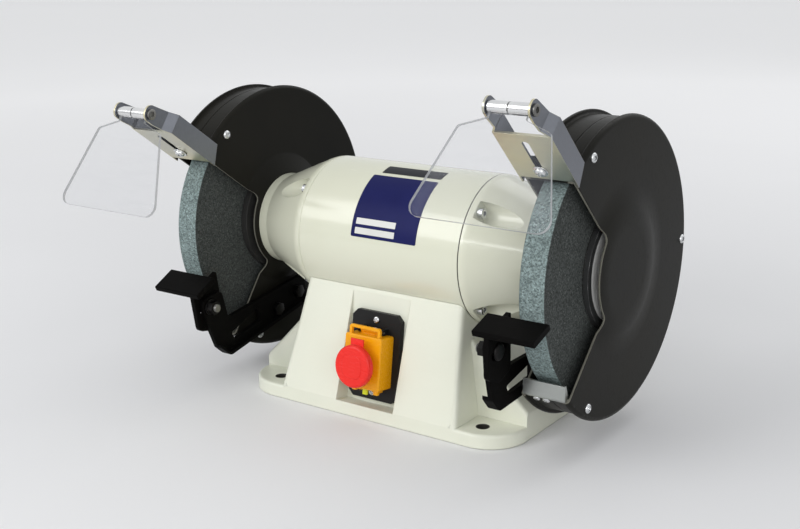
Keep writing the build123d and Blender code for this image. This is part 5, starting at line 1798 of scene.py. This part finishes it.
@dataclass
class Studio:
    """Pale floor, soft lights and the camera at the photograph's place."""

    eye: tuple[float, float, float] = (0.691917, -0.992487, 0.473366)
    azimuth: float = 35.774
    elevation: float = 15.551
    roll: float = -1.094
    lens: float = 55.157
    sensor: float = 36.0
    floor_half: float = 60.0
    floor_drop: float = 0.0005
    floor_colours: tuple[Colour, Colour] = ((0.83, 0.83, 0.84, 1), (0.86, 0.86, 0.87, 1))
    floor_patches: float = 3.0
    floor_roughness: float = 0.8
    floor_specular: float = 0.2
    glow_colour: Colour = (1.0, 1.0, 1.0, 1.0)
    glow_reach: tuple[float, float] = (0.5, 2.6)
    glow_most: float = 0.26
    sky_colour: Colour = (0.97, 0.985, 1.0, 1.0)
    sky_light: float = 0.54
    sky_seen: float = 0.9
    lamps: tuple[Lamp, ...] = (
        Lamp("key", (-1.2, -1.75, 1.45), 1.3, 1.3, 18.0),
        Lamp("strip", (0.1, -2.1, 1.0), 2.6, 0.16, 8.0),
        Lamp("fill", (1.6, -1.5, 0.8), 1.3, 1.3, 10.0),
        Lamp("back", (0.3, 1.8, 1.9), 1.6, 1.6, 10.0),
    )

    def build(self) -> None:
        """Set up the floor, the sky, the lamps and the camera."""
        self._floor()
        self._sky()
        for lamp in self.lamps:
            lamp.build()
        self._camera()
        bpy.context.scene.view_settings.view_transform = "Standard"

    def _floor(self) -> None:
        """Large pale floor that grows paler away from the object, where the camera sees it."""
        half = self.floor_half
        mesh = bpy.data.meshes.new("floor")
        corners = [(-half, -half, 0), (half, -half, 0), (half, half, 0), (-half, half, 0)]
        mesh.from_pydata(corners, [], [(0, 1, 2, 3)])
        floor = linked("floor", mesh)
        material = bpy.data.materials.new("pale_floor")
        material.use_nodes = True
        draft = Draft(material.node_tree)
        shader = material.node_tree.nodes["Principled BSDF"]
        place = draft.add("ShaderNodeTexCoord").outputs["Object"]
        colour = draft.tint(draft.noise(place, self.floor_patches, 3.0), *self.floor_colours)
        far = draft.add("ShaderNodeVectorMath", {0: place}, operation="LENGTH").outputs["Value"]
        seen = draft.add("ShaderNodeLightPath").outputs["Is Camera Ray"]
        glow = draft.product(seen, draft.span(far, *self.glow_reach, 0.0, self.glow_most))
        plain = {"Roughness": self.floor_roughness, "Specular IOR Level": self.floor_specular}
        draft.feed(shader, {**plain, "Base Color": colour})
        draft.feed(shader, {"Emission Color": self.glow_colour, "Emission Strength": glow})
        mesh.materials.append(material)
        floor.location.z = -self.floor_drop

    def _sky(self) -> None:
        """Even light from all round; what the camera, mirrors and glass see of it is paler."""
        world = bpy.data.worlds.new("studio")
        bpy.context.scene.world = world
        world.use_nodes = True
        draft = Draft(world.node_tree)
        back = world.node_tree.nodes["Background"]
        path = draft.add("ShaderNodeLightPath").outputs
        seen = draft.math("MAXIMUM", path["Is Camera Ray"], path["Is Transmission Ray"])
        seen = draft.math("MAXIMUM", seen, path["Is Glossy Ray"])
        strength = draft.span(seen, 0, 1, self.sky_light, self.sky_seen)
        draft.feed(back, {"Strength": strength, "Color": self.sky_colour})

    def _camera(self) -> None:
        """Camera fitted to the photograph."""
        turn, rise, roll = radians(self.azimuth), radians(self.elevation), radians(self.roll)
        back = Vector((sin(turn) * cos(rise), -cos(turn) * cos(rise), sin(rise)))
        right = Vector((cos(turn), sin(turn), 0))
        up = back.cross(right)
        across = cos(roll) * right + sin(roll) * up
        above = cos(roll) * up - sin(roll) * right
        data = bpy.data.cameras.new("camera")
        data.lens = self.lens
        data.sensor_width = self.sensor
        data.sensor_fit = "HORIZONTAL"
        camera = bpy.data.objects.new("camera", data)
        camera.location = self.eye
        camera.rotation_euler = Matrix((across, above, back)).transposed().to_euler()
        bpy.context.scene.collection.objects.link(camera)
        bpy.context.scene.camera = camera


def main() -> None:
    """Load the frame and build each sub-assembly in order."""
    logging.basicConfig(level=logging.INFO, format="%(message)s")
    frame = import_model()
    fitter = Fitter(frame["nodes"], Workshop(), Rows())
    Base(fitter).build()
    Motor(fitter).build()
    for end in End:
        WheelEnd(fitter, end).build()
    GuardFasteners(fitter).build()
    SwitchBox(fitter).build()
    Studio().build()


if __name__ == "__main__":
    main()
